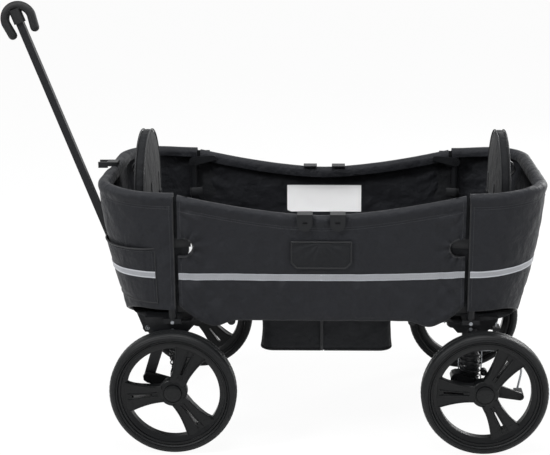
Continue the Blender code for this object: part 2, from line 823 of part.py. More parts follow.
def foot(end, side, parent):
    """Moulded foot under a post: the front one has a forward leg, the rear one a swivel socket."""
    top_z = BASE_Z - BASE_RADIUS - SEAT_GAP

    def plate(shape):
        outline = [
            (0.273, top_z), (0.273, FOOT_FLANGE_Z), (0.285, FOOT_FLANGE_Z), (0.312, FOOT_BOTTOM_Z),
            (0.376, FOOT_BOTTOM_Z), (0.403, FOOT_FLANGE_Z), (0.403, top_z),
        ]
        outer_y = FRONT_FOOT_OUTER_Y if end == FRONT else REAR_FOOT_OUTER_Y
        add_prism(shape, [(end * x, z) for x, z in outline], side * FOOT_INNER_Y, side * outer_y)

    def post_seat(shape):
        low_y, high_y = sorted((side * POST_SEAT_INNER_Y, side * (POST_Y + POST_RADIUS)))
        x = end * POST_X
        top_z = POST_FOOT_Z - SEAT_GAP
        add_box(shape, (x - 0.020, low_y, top_z - 0.011), (x + 0.020, high_y, top_z))

    def leg(shape):
        tip = (FRONT_AXLE_X - ARM_LENGTH_X, ARM_PIVOT_Z)
        outline = link_outline((-0.362, FOOT_BOTTOM_Z + 0.012), tip, 0.013, 0.012)
        half = LEG_THICKNESS / 2
        add_prism(shape, outline, side * (LEG_Y - half), side * (LEG_Y + half))

    def leg_stud(shape):
        add_rod(
            shape,
            (FRONT_AXLE_X - ARM_LENGTH_X, side * LEG_Y, ARM_PIVOT_Z),
            (FRONT_AXLE_X - ARM_LENGTH_X, side * (ARM_Y + ARM_THICKNESS / 2 + 0.003), ARM_PIVOT_Z),
            STUD_RADIUS,
            8,
        )

    def socket(shape):
        add_rod(
            shape,
            (SWIVEL_X, side * SWIVEL_Y, SOCKET_BOTTOM_Z),
            (SWIVEL_X, side * SWIVEL_Y, FOOT_BOTTOM_Z + 0.010),
            SWIVEL_RADIUS,
            16,
        )

    def socket_bore(shape):
        add_rod(
            shape,
            (SWIVEL_X, side * SWIVEL_Y, SOCKET_BOTTOM_Z - 0.002),
            (SWIVEL_X, side * SWIVEL_Y, FOOT_BOTTOM_Z + 0.030),
            SWIVEL_PIN_RADIUS + RUNNING_GAP,
            12,
        )

    name = f"{END_NAMES[end]}_foot_{SIDE_NAMES[side]}"
    if end == FRONT:
        return combine(name, plastic(), parent, plate, added=[post_seat, leg, leg_stud])
    return combine(name, plastic(), parent, plate, added=[post_seat, socket], removed=[socket_bore])


def suspension_arm(end, side, parent):
    """Trailing arm from its pivot to the stub axle; a front arm has the shelf under its spring."""
    axle_x = FRONT_AXLE_X if end == FRONT else REAR_AXLE_X
    pivot_x = axle_x - ARM_LENGTH_X
    half = ARM_THICKNESS / 2

    def arm(shape):
        outline = link_outline((pivot_x, ARM_PIVOT_Z), (axle_x, WHEEL_RADIUS), ARM_WIDTH / 2)
        add_prism(shape, outline, side * (ARM_Y - half), side * (ARM_Y + half))

    def axle(shape):
        outer = WHEEL_CENTRE_Y + TYRE_WIDTH / 2 - 0.008
        near, far = (axle_x, side * ARM_Y, WHEEL_RADIUS), (axle_x, side * outer, WHEEL_RADIUS)
        add_rod(shape, near, far, AXLE_RADIUS, 12)

    def shelf(shape):
        low_y, high_y = sorted((side * (LEG_Y - SPRING_RADIUS - LEG_THICKNESS / 2), side * ARM_Y))
        top_z = SPRING_BOTTOM_Z - SEAT_GAP
        add_box(shape, (SPRING_X - 0.018, low_y, top_z - 0.012), (SPRING_X + 0.018, high_y, top_z))

    def shelf_web(shape):
        low_y, high_y = sorted((side * (ARM_Y - half), side * (ARM_Y + half)))
        low = (SPRING_X - 0.018, low_y, WHEEL_RADIUS)
        high = (SPRING_X + 0.018, high_y, SPRING_BOTTOM_Z - 0.004)
        add_box(shape, low, high)

    def stud_hole(shape):
        add_rod(
            shape,
            (pivot_x, side * (ARM_Y - ARM_THICKNESS), ARM_PIVOT_Z),
            (pivot_x, side * (ARM_Y + ARM_THICKNESS), ARM_PIVOT_Z),
            STUD_RADIUS + RUNNING_GAP,
            8,
        )

    name = f"{END_NAMES[end]}_arm_{SIDE_NAMES[side]}"
    added = [axle, shelf_web, shelf] if end == FRONT else [axle]
    return combine(name, plastic(), parent, arm, added=added, removed=[stud_hole])


def front_spring(side, parent):
    """Ribbed rubber spring between the front foot and the shelf of its arm."""
    y = side * (LEG_Y - LEG_THICKNESS / 2)
    bottom, top = SPRING_BOTTOM_Z, FOOT_BOTTOM_Z - SEAT_GAP
    ribs = 4
    rings = []
    for k in range(2 * ribs + 1):
        z = bottom + (top - bottom) * k / (2 * ribs)
        radius = SPRING_RADIUS - (0.003 if k % 2 else 0.0)
        rings.append((radius, z))
    sections = []
    for radius, z in rings:
        turns = [2 * math.pi * k / 14 for k in range(14)]
        sections.append([
            Vector((SPRING_X + radius * math.cos(t), y + radius * math.sin(t), z)) for t in turns
        ])
    shape = bmesh.new()
    add_sweep(shape, sections)
    return place(f"front_spring_{SIDE_NAMES[side]}", shape, rubber(), parent)


def caster_head(side, parent):
    """Swivelling cylinder of a rear caster with its pin above and the lug for the arm."""
    top_z = SOCKET_BOTTOM_Z - SEAT_GAP
    pivot_x = REAR_AXLE_X - ARM_LENGTH_X
    y = side * SWIVEL_Y

    def body(shape):
        levels = [
            (HEAD_BOTTOM_Z, SWIVEL_RADIUS - 0.004), (HEAD_BOTTOM_Z + 0.004, SWIVEL_RADIUS),
            (HEAD_BOTTOM_Z + 0.030, SWIVEL_RADIUS), (HEAD_BOTTOM_Z + 0.032, SWIVEL_RADIUS - 0.002),
            (HEAD_BOTTOM_Z + 0.036, SWIVEL_RADIUS - 0.002), (HEAD_BOTTOM_Z + 0.038, SWIVEL_RADIUS),
            (top_z - 0.022, SWIVEL_RADIUS), (top_z - 0.020, SWIVEL_RADIUS - 0.002),
            (top_z - 0.016, SWIVEL_RADIUS - 0.002), (top_z - 0.014, SWIVEL_RADIUS), (top_z, SWIVEL_RADIUS),
        ]
        sections = []
        for z, radius in levels:
            turns = [2 * math.pi * k / 16 for k in range(16)]
            sections.append([
                Vector((SWIVEL_X + radius * math.cos(t), y + radius * math.sin(t), z)) for t in turns
            ])
        add_sweep(shape, sections)

    def pin(shape):
        low, high = (SWIVEL_X, y, top_z - 0.010), (SWIVEL_X, y, FOOT_BOTTOM_Z + 0.028)
        add_rod(shape, low, high, SWIVEL_PIN_RADIUS, 12)

    def lug(shape):
        outline = link_outline((pivot_x, ARM_PIVOT_Z), (SWIVEL_X, ARM_PIVOT_Z), 0.012, 0.012)
        inner = SWIVEL_Y - 0.004
        outer = ARM_Y - ARM_THICKNESS / 2 - RUNNING_GAP
        add_prism(shape, outline, side * inner, side * outer)

    def lug_stud(shape):
        outer = ARM_Y + ARM_THICKNESS / 2 + 0.003
        add_rod(shape, (pivot_x, y, ARM_PIVOT_Z), (pivot_x, side * outer, ARM_PIVOT_Z), STUD_RADIUS, 8)

    name = f"caster_head_{SIDE_NAMES[side]}"
    return combine(name, plastic(), parent, body, added=[pin, lug, lug_stud])


def tyre(end, side, parent):
    """Foam rubber tyre with rounded shoulders."""
    axle_x = FRONT_AXLE_X if end == FRONT else REAR_AXLE_X
    inner_r = WHEEL_RADIUS - TYRE_DEPTH
    half = TYRE_WIDTH / 2
    profile = [
        (inner_r, -half + 0.004), (WHEEL_RADIUS - 0.011, -half), (WHEEL_RADIUS - 0.003, -half + 0.005),
        (WHEEL_RADIUS, -half + 0.014), (WHEEL_RADIUS, half - 0.014), (WHEEL_RADIUS - 0.003, half - 0.005),
        (WHEEL_RADIUS - 0.011, half), (inner_r, half - 0.004),
    ]
    shape = bmesh.new()
    revolve(shape, profile, (axle_x, side * WHEEL_CENTRE_Y, WHEEL_RADIUS), WHEEL_FACETS)
    return place(f"{END_NAMES[end]}_tyre_{SIDE_NAMES[side]}", shape, rubber(), parent)


def wheel(end, side, parent):
    """Moulded wheel: rim ring, hub with cap and bore, and wide spokes that flare at the rim."""
    axle_x = FRONT_AXLE_X if end == FRONT else REAR_AXLE_X
    centre = Vector((axle_x, side * WHEEL_CENTRE_Y, WHEEL_RADIUS))
    outer_r = WHEEL_RADIUS - TYRE_DEPTH - SEAT_GAP
    inner_r = outer_r - RIM_DEPTH
    half = TYRE_WIDTH / 2 - 0.006

    def ring(shape):
        profile = [
            (inner_r, -half + 0.001), (outer_r, -half), (outer_r, half),
            (inner_r + 0.002, half), (inner_r, half - 0.003),
        ]
        revolve(shape, profile, centre, WHEEL_FACETS)

    def hub(shape):
        face = centre.y + side * half
        add_rod(
            shape, (axle_x, centre.y - side * half, WHEEL_RADIUS), (axle_x, face, WHEEL_RADIUS),
            HUB_RADIUS, 20,
        )

    def cap(shape):
        face = centre.y + side * half
        outer = face + side * 0.004
        add_rod(
            shape, (axle_x, face - side * 0.003, WHEEL_RADIUS), (axle_x, outer, WHEEL_RADIUS),
            HUB_CAP_RADIUS, 16, HUB_CAP_RADIUS - 0.003
        )

    def spoke(number):
        def build(shape):
            first = 186.0 if end == FRONT else 178.0
            turn = math.radians(first + 360.0 * number / SPOKE_COUNT)
            outward = Vector((math.cos(turn), 0, math.sin(turn)))
            across = Vector((-math.sin(turn), 0, math.cos(turn)))
            rows = [
                (HUB_RADIUS - 0.012, 0.020, 0.012), (HUB_RADIUS + 0.014, 0.0205, 0.011),
                (inner_r - 0.020, 0.028, 0.010), (inner_r + 0.006, 0.040, 0.010),
            ]
            shape_rings = []
            for radius, width, thick in rows:
                middle = centre + outward * radius + Vector((0, side * 0.003, 0))
                y = Vector((0, 1, 0))
                shape_rings.append([
                    middle - across * width - y * thick, middle + across * width - y * thick,
                    middle + across * width + y * thick, middle - across * width + y * thick,
                ])
            add_sweep(shape, shape_rings)
        return build

    def slot(number):
        def build(shape):
            first = 186.0 if end == FRONT else 178.0
            turn = math.radians(first + 360.0 * number / SPOKE_COUNT)
            outward = Vector((math.cos(turn), 0, math.sin(turn)))
            start = centre + outward * (HUB_RADIUS + 0.016)
            finish = centre + outward * (inner_r - 0.012)
            across = Vector((-math.sin(turn), 0, math.cos(turn)))
            rings = []
            for point, width in ((start, 0.002), (finish, 0.0045)):
                y = Vector((0, TYRE_WIDTH, 0))
                wide = across * width
                rings.append([point - wide - y, point + wide - y, point + wide + y, point - wide + y])
            add_sweep(shape, rings)
        return build

    def bore(shape):
        outer = WHEEL_CENTRE_Y + TYRE_WIDTH / 2 - 0.007
        add_rod(
            shape,
            (axle_x, side * (WHEEL_CENTRE_Y - TYRE_WIDTH), WHEEL_RADIUS),
            (axle_x, side * outer, WHEEL_RADIUS),
            AXLE_RADIUS + RUNNING_GAP,
            12,
        )

    name = f"{END_NAMES[end]}_wheel_{SIDE_NAMES[side]}"
    spokes = [spoke(number) for number in range(SPOKE_COUNT)]
    slots = [slot(number) for number in range(SPOKE_COUNT)]
    return combine(name, plastic(), parent, hub, added=spokes + [ring, cap], removed=slots + [bore])


def brake_lever(side, parent):
    """Foot lever that turns on the rear stub axle between the arm and the wheel."""
    inner = ARM_Y + ARM_THICKNESS / 2 + 0.001
    tip = (REAR_AXLE_X + BRAKE_LENGTH, WHEEL_RADIUS - 0.022)

    def lever(shape):
        outline = link_outline((REAR_AXLE_X, WHEEL_RADIUS), tip, 0.019, 0.009, 7)
        add_prism(shape, outline, side * inner, side * (inner + BRAKE_THICKNESS))

    def pad(shape):
        low_y, high_y = sorted((side * (inner - 0.030), side * (inner + BRAKE_THICKNESS)))
        add_box(shape, (tip[0] - 0.012, low_y, tip[1] - 0.002), (tip[0] + 0.007, high_y, tip[1] + 0.008))

    def bore(shape):
        add_rod(
            shape,
            (REAR_AXLE_X, side * (inner - 0.002), WHEEL_RADIUS),
            (REAR_AXLE_X, side * (inner + 2 * BRAKE_THICKNESS), WHEEL_RADIUS),
            AXLE_RADIUS + RUNNING_GAP,
            12,
        )

    name = f"brake_lever_{SIDE_NAMES[side]}"
    return combine(name, plastic(), parent, lever, added=[pad], removed=[bore])


def brake_cable(side, parent):
    """Cable from the brake lever's tip in an open bend up to the caster head."""
    y = side * (ARM_Y - 0.014)
    start = (REAR_AXLE_X + BRAKE_LENGTH - 0.004, y, WHEEL_RADIUS - 0.022 + 0.008 + FREE_GAP)
    corners = [
        start,
        (start[0] + 0.010, y, 0.185),
        (REAR_AXLE_X + 0.040, y, 0.228),
        (SWIVEL_X + SWIVEL_RADIUS + 0.001, side * SWIVEL_Y, 0.222),
    ]
    shape = bmesh.new()
    add_tube(shape, bend_path(corners, 0.026, 5), 0.0025, 8)
    return place(f"brake_cable_{SIDE_NAMES[side]}", shape, rubber(), parent)


def cushion_levels(low_z, top_z):
    """Heights and draw of a sewn cushion: two seams that stand out, a drawn-in side and a low crown."""
    return [
        (low_z, CUSHION_SEAM), (low_z + CUSHION_SEAM, 0.0), (low_z + 2 * CUSHION_SEAM, CUSHION_SIDE_DRAW),
        (top_z - CUSHION_CROWN - 2 * CUSHION_SEAM, CUSHION_SIDE_DRAW),
        (top_z - CUSHION_CROWN - CUSHION_SEAM, 0.0),
        (top_z - CUSHION_CROWN, CUSHION_SEAM), (top_z - CUSHION_CROWN / 3, CUSHION_CROWN_RUN / 2),
        (top_z, CUSHION_CROWN_RUN),
    ]


def seat(end, parent):
    """Seat cushion with board, on the base frame between the post line and the backrest's foot."""
    inner_x = POST_X
    outer_x = END_X - end_inset(BASE_Z) - WALL_THICKNESS - STEM_CHANNEL_DEPTH - FREE_GAP
    half_y = SEAT_HALF_WIDTH
    low_z = BASE_Z + BASE_RADIUS + SEAT_GAP

    def block(shape):
        outline = []
        corner = SEAT_CORNER_RADIUS
        turns = (
            (outer_x - corner, half_y - corner, 0), (inner_x, half_y, None),
            (inner_x, -half_y, None), (outer_x - corner, -half_y + corner, 270),
        )
        for cx, cy, start in turns:
            if start is None:
                outline.append((cx, cy))
                continue
            for k in range(5):
                t = math.radians(start + 90 * k / 4)
                outline.append((cx + corner * math.cos(t), cy + corner * math.sin(t)))
        centre_x = (inner_x + outer_x) / 2
        sections = []
        for z, draw in cushion_levels(low_z, SEAT_TOP_Z):
            share_x = 1 - draw / ((outer_x - inner_x) / 2)
            share_y = 1 - draw / half_y
            sections.append([
                Vector((end * (centre_x + (x - centre_x) * share_x), y * share_y, z)) for x, y in outline
            ])
        add_sweep(shape, sections)

    shape = bmesh.new()
    block(shape)
    return place(f"{END_NAMES[end]}_seat", shape, fabric(), parent)


def floor_cushion(end, parent):
    """Flap of the seat that rides on a floor frame, from the post line to the footwell's edge."""
    inner_x, outer_x = FLOOR_INNER_X, FLOOR_OUTER_X
    half_y = FLOOR_CUSHION_HALF_WIDTH
    low_z = CROSS_TUBE_Z + BASE_RADIUS + SEAT_GAP
    shape = bmesh.new()
    sections = []
    for z, draw in cushion_levels(low_z, SEAT_TOP_Z - CUSHION_STEP):
        x0, x1, y1 = inner_x + draw, outer_x - draw, half_y - draw
        corner = 0.010
        ring = [
            (x0 + corner, -y1), (x1 - corner, -y1), (x1, -y1 + corner), (x1, y1 - corner),
            (x1 - corner, y1), (x0 + corner, y1), (x0, y1 - corner), (x0, -y1 + corner),
        ]
        sections.append([Vector((end * x, y, z)) for x, y in ring])
    add_sweep(shape, sections)
    return place(f"{END_NAMES[end]}_floor_cushion", shape, fabric(), parent)


def backrest_levels(half):
    """Depths and draw of a padded backrest: a seam round each face and a low crown inside it."""
    rise = BACKREST_CROWN
    front = [(-half, BACKREST_CROWN_RUN), (-half + rise * 0.4, BACKREST_CROWN_RUN / 2), (-half + rise, 0.002)]
    middle = [(-half * 0.5 + rise / 3, 0.0), (half * 0.5 - rise / 3, 0.0)]
    return front + middle + [(-depth, draw) for depth, draw in reversed(front)]


def backrest(end, parent):
    """Upright padded backrest with a half-round top, standing on the seat."""
    radius = BACKREST_WIDTH / 2
    shoulder_z = BACKREST_TOP_Z - radius
    outline = [(-radius, SEAT_TOP_Z + SEAT_GAP), (radius, SEAT_TOP_Z + SEAT_GAP)]
    for k in range(17):
        t = math.pi * k / 16
        outline.append((radius * math.cos(t), shoulder_z + radius * math.sin(t)))
    half = BACKREST_THICKNESS / 2
    centre_z = (SEAT_TOP_Z + BACKREST_TOP_Z) / 2
    sections = []
    for depth, draw in backrest_levels(half):
        share = 1 - draw / radius
        ring = []
        for y, z in outline:
            low = z < SEAT_TOP_Z + 0.001
            height = z if low else centre_z + (z - centre_z) * share
            ring.append(Vector((end * (BACKREST_X + depth), y * share, height)))
        sections.append(ring)
    shape = bmesh.new()
    add_sweep(shape, sections)
    return place(f"{END_NAMES[end]}_backrest", shape, fabric(), parent)


def harness(end, parent):
    """Shoulder straps, waist buckle and crotch strap of one seat, lying on the backrest."""
    back_x = BACKREST_X - BACKREST_THICKNESS / 2 - SEAT_GAP
    near_x = back_x - 0.003
    buckle_z = SEAT_TOP_Z + 0.075

    def buckle(shape):
        x_low, x_high = sorted((end * (near_x - 0.008), end * back_x))
        add_box(shape, (x_low, -0.022, buckle_z - 0.022), (x_high, 0.022, buckle_z + 0.022))

    def strap(side):
        def build(shape):
            width = 0.0125
            rings = []
            for y, z in ((0.010, buckle_z), (0.052, buckle_z + 0.060), (0.060, BACKREST_TOP_Z - 0.105)):
                rings.append([
                    Vector((end * back_x, side * y - width, z)), Vector((end * near_x, side * y - width, z)),
                    Vector((end * near_x, side * y + width, z)), Vector((end * back_x, side * y + width, z)),
                ])
            add_sweep(shape, rings)
        return build

    def crotch(shape):
        x_low, x_high = sorted((end * near_x, end * back_x))
        add_box(shape, (x_low, -0.0125, SEAT_TOP_Z + 0.001), (x_high, 0.0125, buckle_z))

    name = f"{END_NAMES[end]}_harness"
    return combine(name, fabric(), parent, buckle, added=[strap(LEFT), strap(RIGHT), crotch])


def footwell(parent):
    """Soft bag, open at its top, with hems along both sides that are sewn under the floor rails."""
    def outline(inset, hem=0.0):
        half_x, half_y = FOOTWELL_HALF_LENGTH - inset, FOOTWELL_HALF_WIDTH - inset
        corner = FOOTWELL_CORNER_RADIUS - inset
        points = []
        for sx, sy, start in ((1, 1, 0), (-1, 1, 90), (-1, -1, 180), (1, -1, 270)):
            for k in range(4):
                t = math.radians(start + 90 * k / 3)
                points.append((
                    FOOTWELL_CENTRE_X + sx * (half_x - corner) + corner * math.cos(t),
                    sy * (half_y + hem - corner) + corner * math.sin(t),
                ))
        return points

    top_z = LOW_PIVOT_Z - RAIL_RADIUS - SEAT_GAP
    hem = FLOOR_RAIL_Y - FOOTWELL_HALF_WIDTH
    levels = [
        (top_z, FOOTWELL_WALL, 0.0),
        (FOOTWELL_BOTTOM_Z + FOOTWELL_WALL, FOOTWELL_WALL, 0.0),
        (FOOTWELL_BOTTOM_Z, FOOTWELL_EDGE, 0.0),
        (FOOTWELL_BOTTOM_Z + FOOTWELL_EDGE, 0.0, 0.0),
        (top_z - FOOTWELL_WALL, 0.0, 0.0),
        (top_z - FOOTWELL_WALL, 0.0, hem),
        (top_z, 0.0, hem),
    ]
    shape = bmesh.new()
    rings = []
    for z, inset, reach in levels:
        rings.append([shape.verts.new((x, y, z)) for x, y in outline(inset, reach)])
    count = len(rings[0])
    shape.faces.new(rings[1])
    shape.faces.new(rings[2])
    for a, b in ((0, 1), (2, 3), (3, 4), (4, 5), (5, 6), (6, 0)):
        for i in range(count):
            j = (i + 1) % count
            shape.faces.new((rings[a][i], rings[a][j], rings[b][j], rings[b][i]))
    bmesh.ops.remove_doubles(shape, verts=shape.verts[:], dist=0.00001)
    bmesh.ops.dissolve_degenerate(shape, edges=shape.edges[:], dist=0.00001)
    return place("footwell", shape, fabric(), parent)


def side_pouch(parent):
    """Flat pouch with cut lower corners on the left side panel, under the rail clips."""
    half, chamfer = 0.067, 0.012
    top_z, low_z = 0.497, 0.437
    outline = [
        (-half, top_z), (-half, low_z + chamfer), (-half + chamfer, low_z),
        (half - chamfer, low_z), (half, low_z + chamfer), (half, top_z),
    ]
    shape = bmesh.new()
    add_prism(shape, outline, -WALL_Y - SEAT_GAP, -WALL_Y - SEAT_GAP - 0.004)
    return place("side_pouch", shape, fabric(), parent)


def front_pocket(parent):
    """Flat pocket on the left part of the front end wrap."""
    shape = bmesh.new()
    sections = []
    steps = 8
    indices = [1 + 8 * k / steps for k in range(steps + 1)]
    for position in indices:
        index = int(position)
        share = position - index
        ring = []
        inner = ((SEAT_GAP, 0.350), (SEAT_GAP, 0.415), (SEAT_GAP, 0.480))
        bulge = ((0.006, 0.478), (0.010, 0.415), (0.006, 0.352))
        for out, z in inner + bulge:
            def point_at(i):
                x, y, _ = end_outline(end_inset(z), -out)[i]
                return Vector((FRONT * x, y, z))
            point = point_at(index).lerp(point_at(index + 1), share)
            ring.append(point)
        sections.append(ring)
    add_sweep(shape, sections)
    return place("front_pocket", shape, fabric(), parent)


def front_cross_tube(parent):
    """Tube between the two front legs that carries the handle bracket."""
    reach = LEG_Y - LEG_THICKNESS / 2 - SEAT_GAP
    shape = bmesh.new()
    add_rod(shape, (FRONT_TUBE_X, -reach, FRONT_TUBE_Z), (FRONT_TUBE_X, reach, FRONT_TUBE_Z), BASE_RADIUS, 16)
    return place("front_cross_tube", shape, painted(), parent)


def sleeve_half_width():
    """Half the outer width of the handle's pivot sleeve."""
    return STEM_WIDTH / 2 + RUNNING_GAP + 0.003


def handle_bracket(parent):
    """Clamp on the front cross tube with two cheeks and the bolt that the handle turns on."""
    inner = sleeve_half_width() + RUNNING_GAP
    outer = inner + 0.004

    def clamp(shape):
        left, right = (FRONT_TUBE_X, -outer, FRONT_TUBE_Z), (FRONT_TUBE_X, outer, FRONT_TUBE_Z)
        add_rod(shape, left, right, BASE_RADIUS + 0.006, 14)

    def cheek(side):
        def build(shape):
            pivot_place, tube_place = (HANDLE_PIVOT_X, HANDLE_PIVOT_Z), (FRONT_TUBE_X, FRONT_TUBE_Z)
            outline = link_outline(pivot_place, tube_place, 0.013, BASE_RADIUS + 0.004)
            add_prism(shape, outline, side * inner, side * outer)
        return build

    def bolt(shape):
        add_rod(
            shape, (HANDLE_PIVOT_X, -outer - 0.004, HANDLE_PIVOT_Z),
            (HANDLE_PIVOT_X, outer + 0.004, HANDLE_PIVOT_Z),
            STUD_RADIUS, 8
        )

    def bore(shape):
        add_rod(
            shape, (FRONT_TUBE_X, -0.05, FRONT_TUBE_Z), (FRONT_TUBE_X, 0.05, FRONT_TUBE_Z),
            BASE_RADIUS + SEAT_GAP, 16
        )

    return combine(
        "handle_bracket", steel(), parent, clamp,
        added=[cheek(LEFT), cheek(RIGHT), bolt], removed=[bore],
    )


def storage_clip(parent):
    """Clip on the front rim that holds the stem when the handle stands up."""
    rim_x = -(END_X - end_inset(RIM_Z_END))
    base_z = RIM_Z_END + SEAT_GAP
    stem_gap = STEM_WIDTH / 2 + 0.001

    def base(shape):
        add_box(shape, (rim_x - 0.006, -0.016, base_z), (rim_x + 0.020, 0.016, base_z + 0.010))

    def prong(side):
        def build(shape):
            low_y, high_y = sorted((side * stem_gap, side * (stem_gap + 0.006)))
            add_box(shape, (rim_x - 0.026, low_y, base_z - 0.004), (rim_x - 0.004, high_y, base_z + 0.010))
        return build

    return combine("storage_clip", plastic(), parent, base, added=[prong(LEFT), prong(RIGHT)])


def pull_handle(parent):
    """Stem, sleeve and grip, drawn upright about the pivot; the pivot empty leans them forward."""
    sleeve_half = sleeve_half_width()
    stem_half = STEM_WIDTH / 2
    stem_top = HANDLE_LENGTH + GRIP_BEND_RADIUS - GRIP_RADIUS - 0.001
    stem_low = 0.016

    def upright(z_points):
        return [(0.0, 0.0, z) for z in z_points]

    def stem(shape):
        add_box(shape, (-stem_half, -stem_half, stem_low), (stem_half, stem_half, stem_top))

    def sleeve(shape):
        add_box(shape, (-sleeve_half, -sleeve_half, -0.010), (sleeve_half, sleeve_half, 0.044))

    def sleeve_heel(shape):
        add_rod(shape, (0, -sleeve_half, 0), (0, sleeve_half, 0), sleeve_half + 0.001, 16)

    def sleeve_hole(shape):
        hole = stem_half + SEAT_GAP
        add_box(shape, (-hole, -hole, stem_low - SEAT_GAP), (hole, hole, 0.080))

    def bolt_hole(shape):
        add_rod(shape, (0, -0.05, 0), (0, 0.05, 0), STUD_RADIUS + RUNNING_GAP, 8)

    def grip_bar(shape):
        top = HANDLE_LENGTH
        path = [(-GRIP_BEND_RADIUS + 0.004, 0, top - GRIP_DROP)]
        for k in range(11):
            t = math.pi * (1 - k / 10)
            path.append((GRIP_BEND_RADIUS * math.cos(t), 0, top + GRIP_BEND_RADIUS * math.sin(t)))
        path.append((GRIP_BEND_RADIUS - 0.004, 0, top - GRIP_DROP))
        add_tube(shape, path, GRIP_RADIUS, 12)

    def grip_collar(shape):
        half = stem_half + 0.003
        add_box(shape, (-half, -half, stem_top - 0.026), (half, half, stem_top + 0.004))

    def grip_socket(shape):
        hole = stem_half + SEAT_GAP
        add_box(shape, (-hole, -hole, stem_top - 0.030), (hole, hole, stem_top + SEAT_GAP))

    made = [
        combine("handle_stem", painted(), None, stem),
        combine(
            "handle_sleeve", plastic(), None, sleeve,
            added=[sleeve_heel], removed=[sleeve_hole, bolt_hole],
        ),
        combine("handle_grip", foam(), None, grip_bar, added=[grip_collar], removed=[grip_socket]),
    ]
    for thing in made:
        thing.parent = parent
    return made


def lowest_footprint_centre():
    """Middle of the finished model's box in plan, at its lowest point."""
    seen = bpy.context.evaluated_depsgraph_get()
    low = Vector((math.inf,) * 3)
    high = Vector((-math.inf,) * 3)
    for thing in bpy.data.objects:
        if thing.type != "MESH":
            continue
        shown = thing.evaluated_get(seen)
        for vertex in shown.data.vertices:
            point = shown.matrix_world @ vertex.co
            low = Vector(map(min, low, point))
            high = Vector(map(max, high, point))
    return Vector(((low.x + high.x) / 2, (low.y + high.y) / 2, low.z))


def build_end(end, frame):
    """Everything fixed to one end frame."""
    rim_tube(end, frame)
    base_frame(end, frame)
    end_wrap(end, frame)
    seat(end, frame)
    backrest(end, frame)
    harness(end, frame)
    for side in (LEFT, RIGHT):
        post(end, side, frame)
        foot(end, side, frame)


def build_wheel_unit(end, side, carrier):
    """Suspension arm with its wheel, and on the rear the brake lever and cable."""
    axle_x = FRONT_AXLE_X if end == FRONT else REAR_AXLE_X
    label = f"{END_NAMES[end]}_{SIDE_NAMES[side]}"
    arm_pivot = pivot(f"{label}_arm_pivot", (axle_x - ARM_LENGTH_X, side * ARM_Y, ARM_PIVOT_Z), carrier)
    suspension_arm(end, side, arm_pivot)
    axle = pivot(f"{label}_axle", (axle_x, side * WHEEL_CENTRE_Y, WHEEL_RADIUS), arm_pivot)
    tyre(end, side, axle)
    wheel(end, side, axle)
    if end == REAR:
        brake_pivot = pivot(f"{label}_brake_pivot", (axle_x, side * ARM_Y, WHEEL_RADIUS), arm_pivot)
        brake_lever(side, brake_pivot)


def build_wagon():
    """Build all sub-parts on their bodies' empties and move the origin to the footprint's middle."""
    clear_scene()
    wagon = pivot("wagon", (0, 0, 0), None)
    rear_frame = pivot("rear_frame", (0, 0, 0), wagon)
    build_end(REAR, rear_frame)
    footwell(rear_frame)
    side_pouch(rear_frame)
    for side in (LEFT, RIGHT):
        side_panel(side, rear_frame)
        caster_place = (SWIVEL_X, side * SWIVEL_Y, SOCKET_BOTTOM_Z)
        caster = pivot(f"caster_pivot_{SIDE_NAMES[side]}", caster_place, rear_frame)
        caster_head(side, caster)
        brake_cable(side, caster)
        build_wheel_unit(REAR, side, caster)
    rear_rails = pivot("rear_rails_pivot", (POST_X, 0, TOP_PIVOT_Z), rear_frame)
    centre_z = panel_rim_z(0) - rim_tube_drop()
    front_rails = pivot("front_rails_pivot", (0, 0, centre_z), rear_rails)
    front_frame = pivot("front_frame_pivot", (-POST_X, 0, TOP_PIVOT_Z), front_rails)
    for side in (LEFT, RIGHT):
        top_rail(REAR, side, rear_rails)
        top_rail(FRONT, side, front_rails)
    build_end(FRONT, front_frame)
    front_cross_tube(front_frame)
    handle_bracket(front_frame)
    storage_clip(front_frame)
    front_pocket(front_frame)
    for side in (LEFT, RIGHT):
        front_spring(side, front_frame)
        build_wheel_unit(FRONT, side, front_frame)
    for end, frame in ((REAR, rear_frame), (FRONT, front_frame)):
        floor = pivot(f"{END_NAMES[end]}_floor_pivot", (end * POST_X, 0, LOW_PIVOT_Z), frame)
        floor_frame(end, floor)
        floor_cushion(end, floor)
    handle_pivot = pivot(
        "handle_pivot", (HANDLE_PIVOT_X, 0, HANDLE_PIVOT_Z), front_frame, (0, math.radians(-HANDLE_LEAN), 0)
    )
    pull_handle(handle_pivot)
    bpy.context.view_layer.update()
    wagon.location = -lowest_footprint_centre()
    bpy.context.view_layer.update()


build_wagon()
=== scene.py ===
import json
import math

import bmesh
import bpy
import numpy as np
from bpy.props import FloatProperty, FloatVectorProperty, IntProperty, PointerProperty
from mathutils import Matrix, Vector, noise


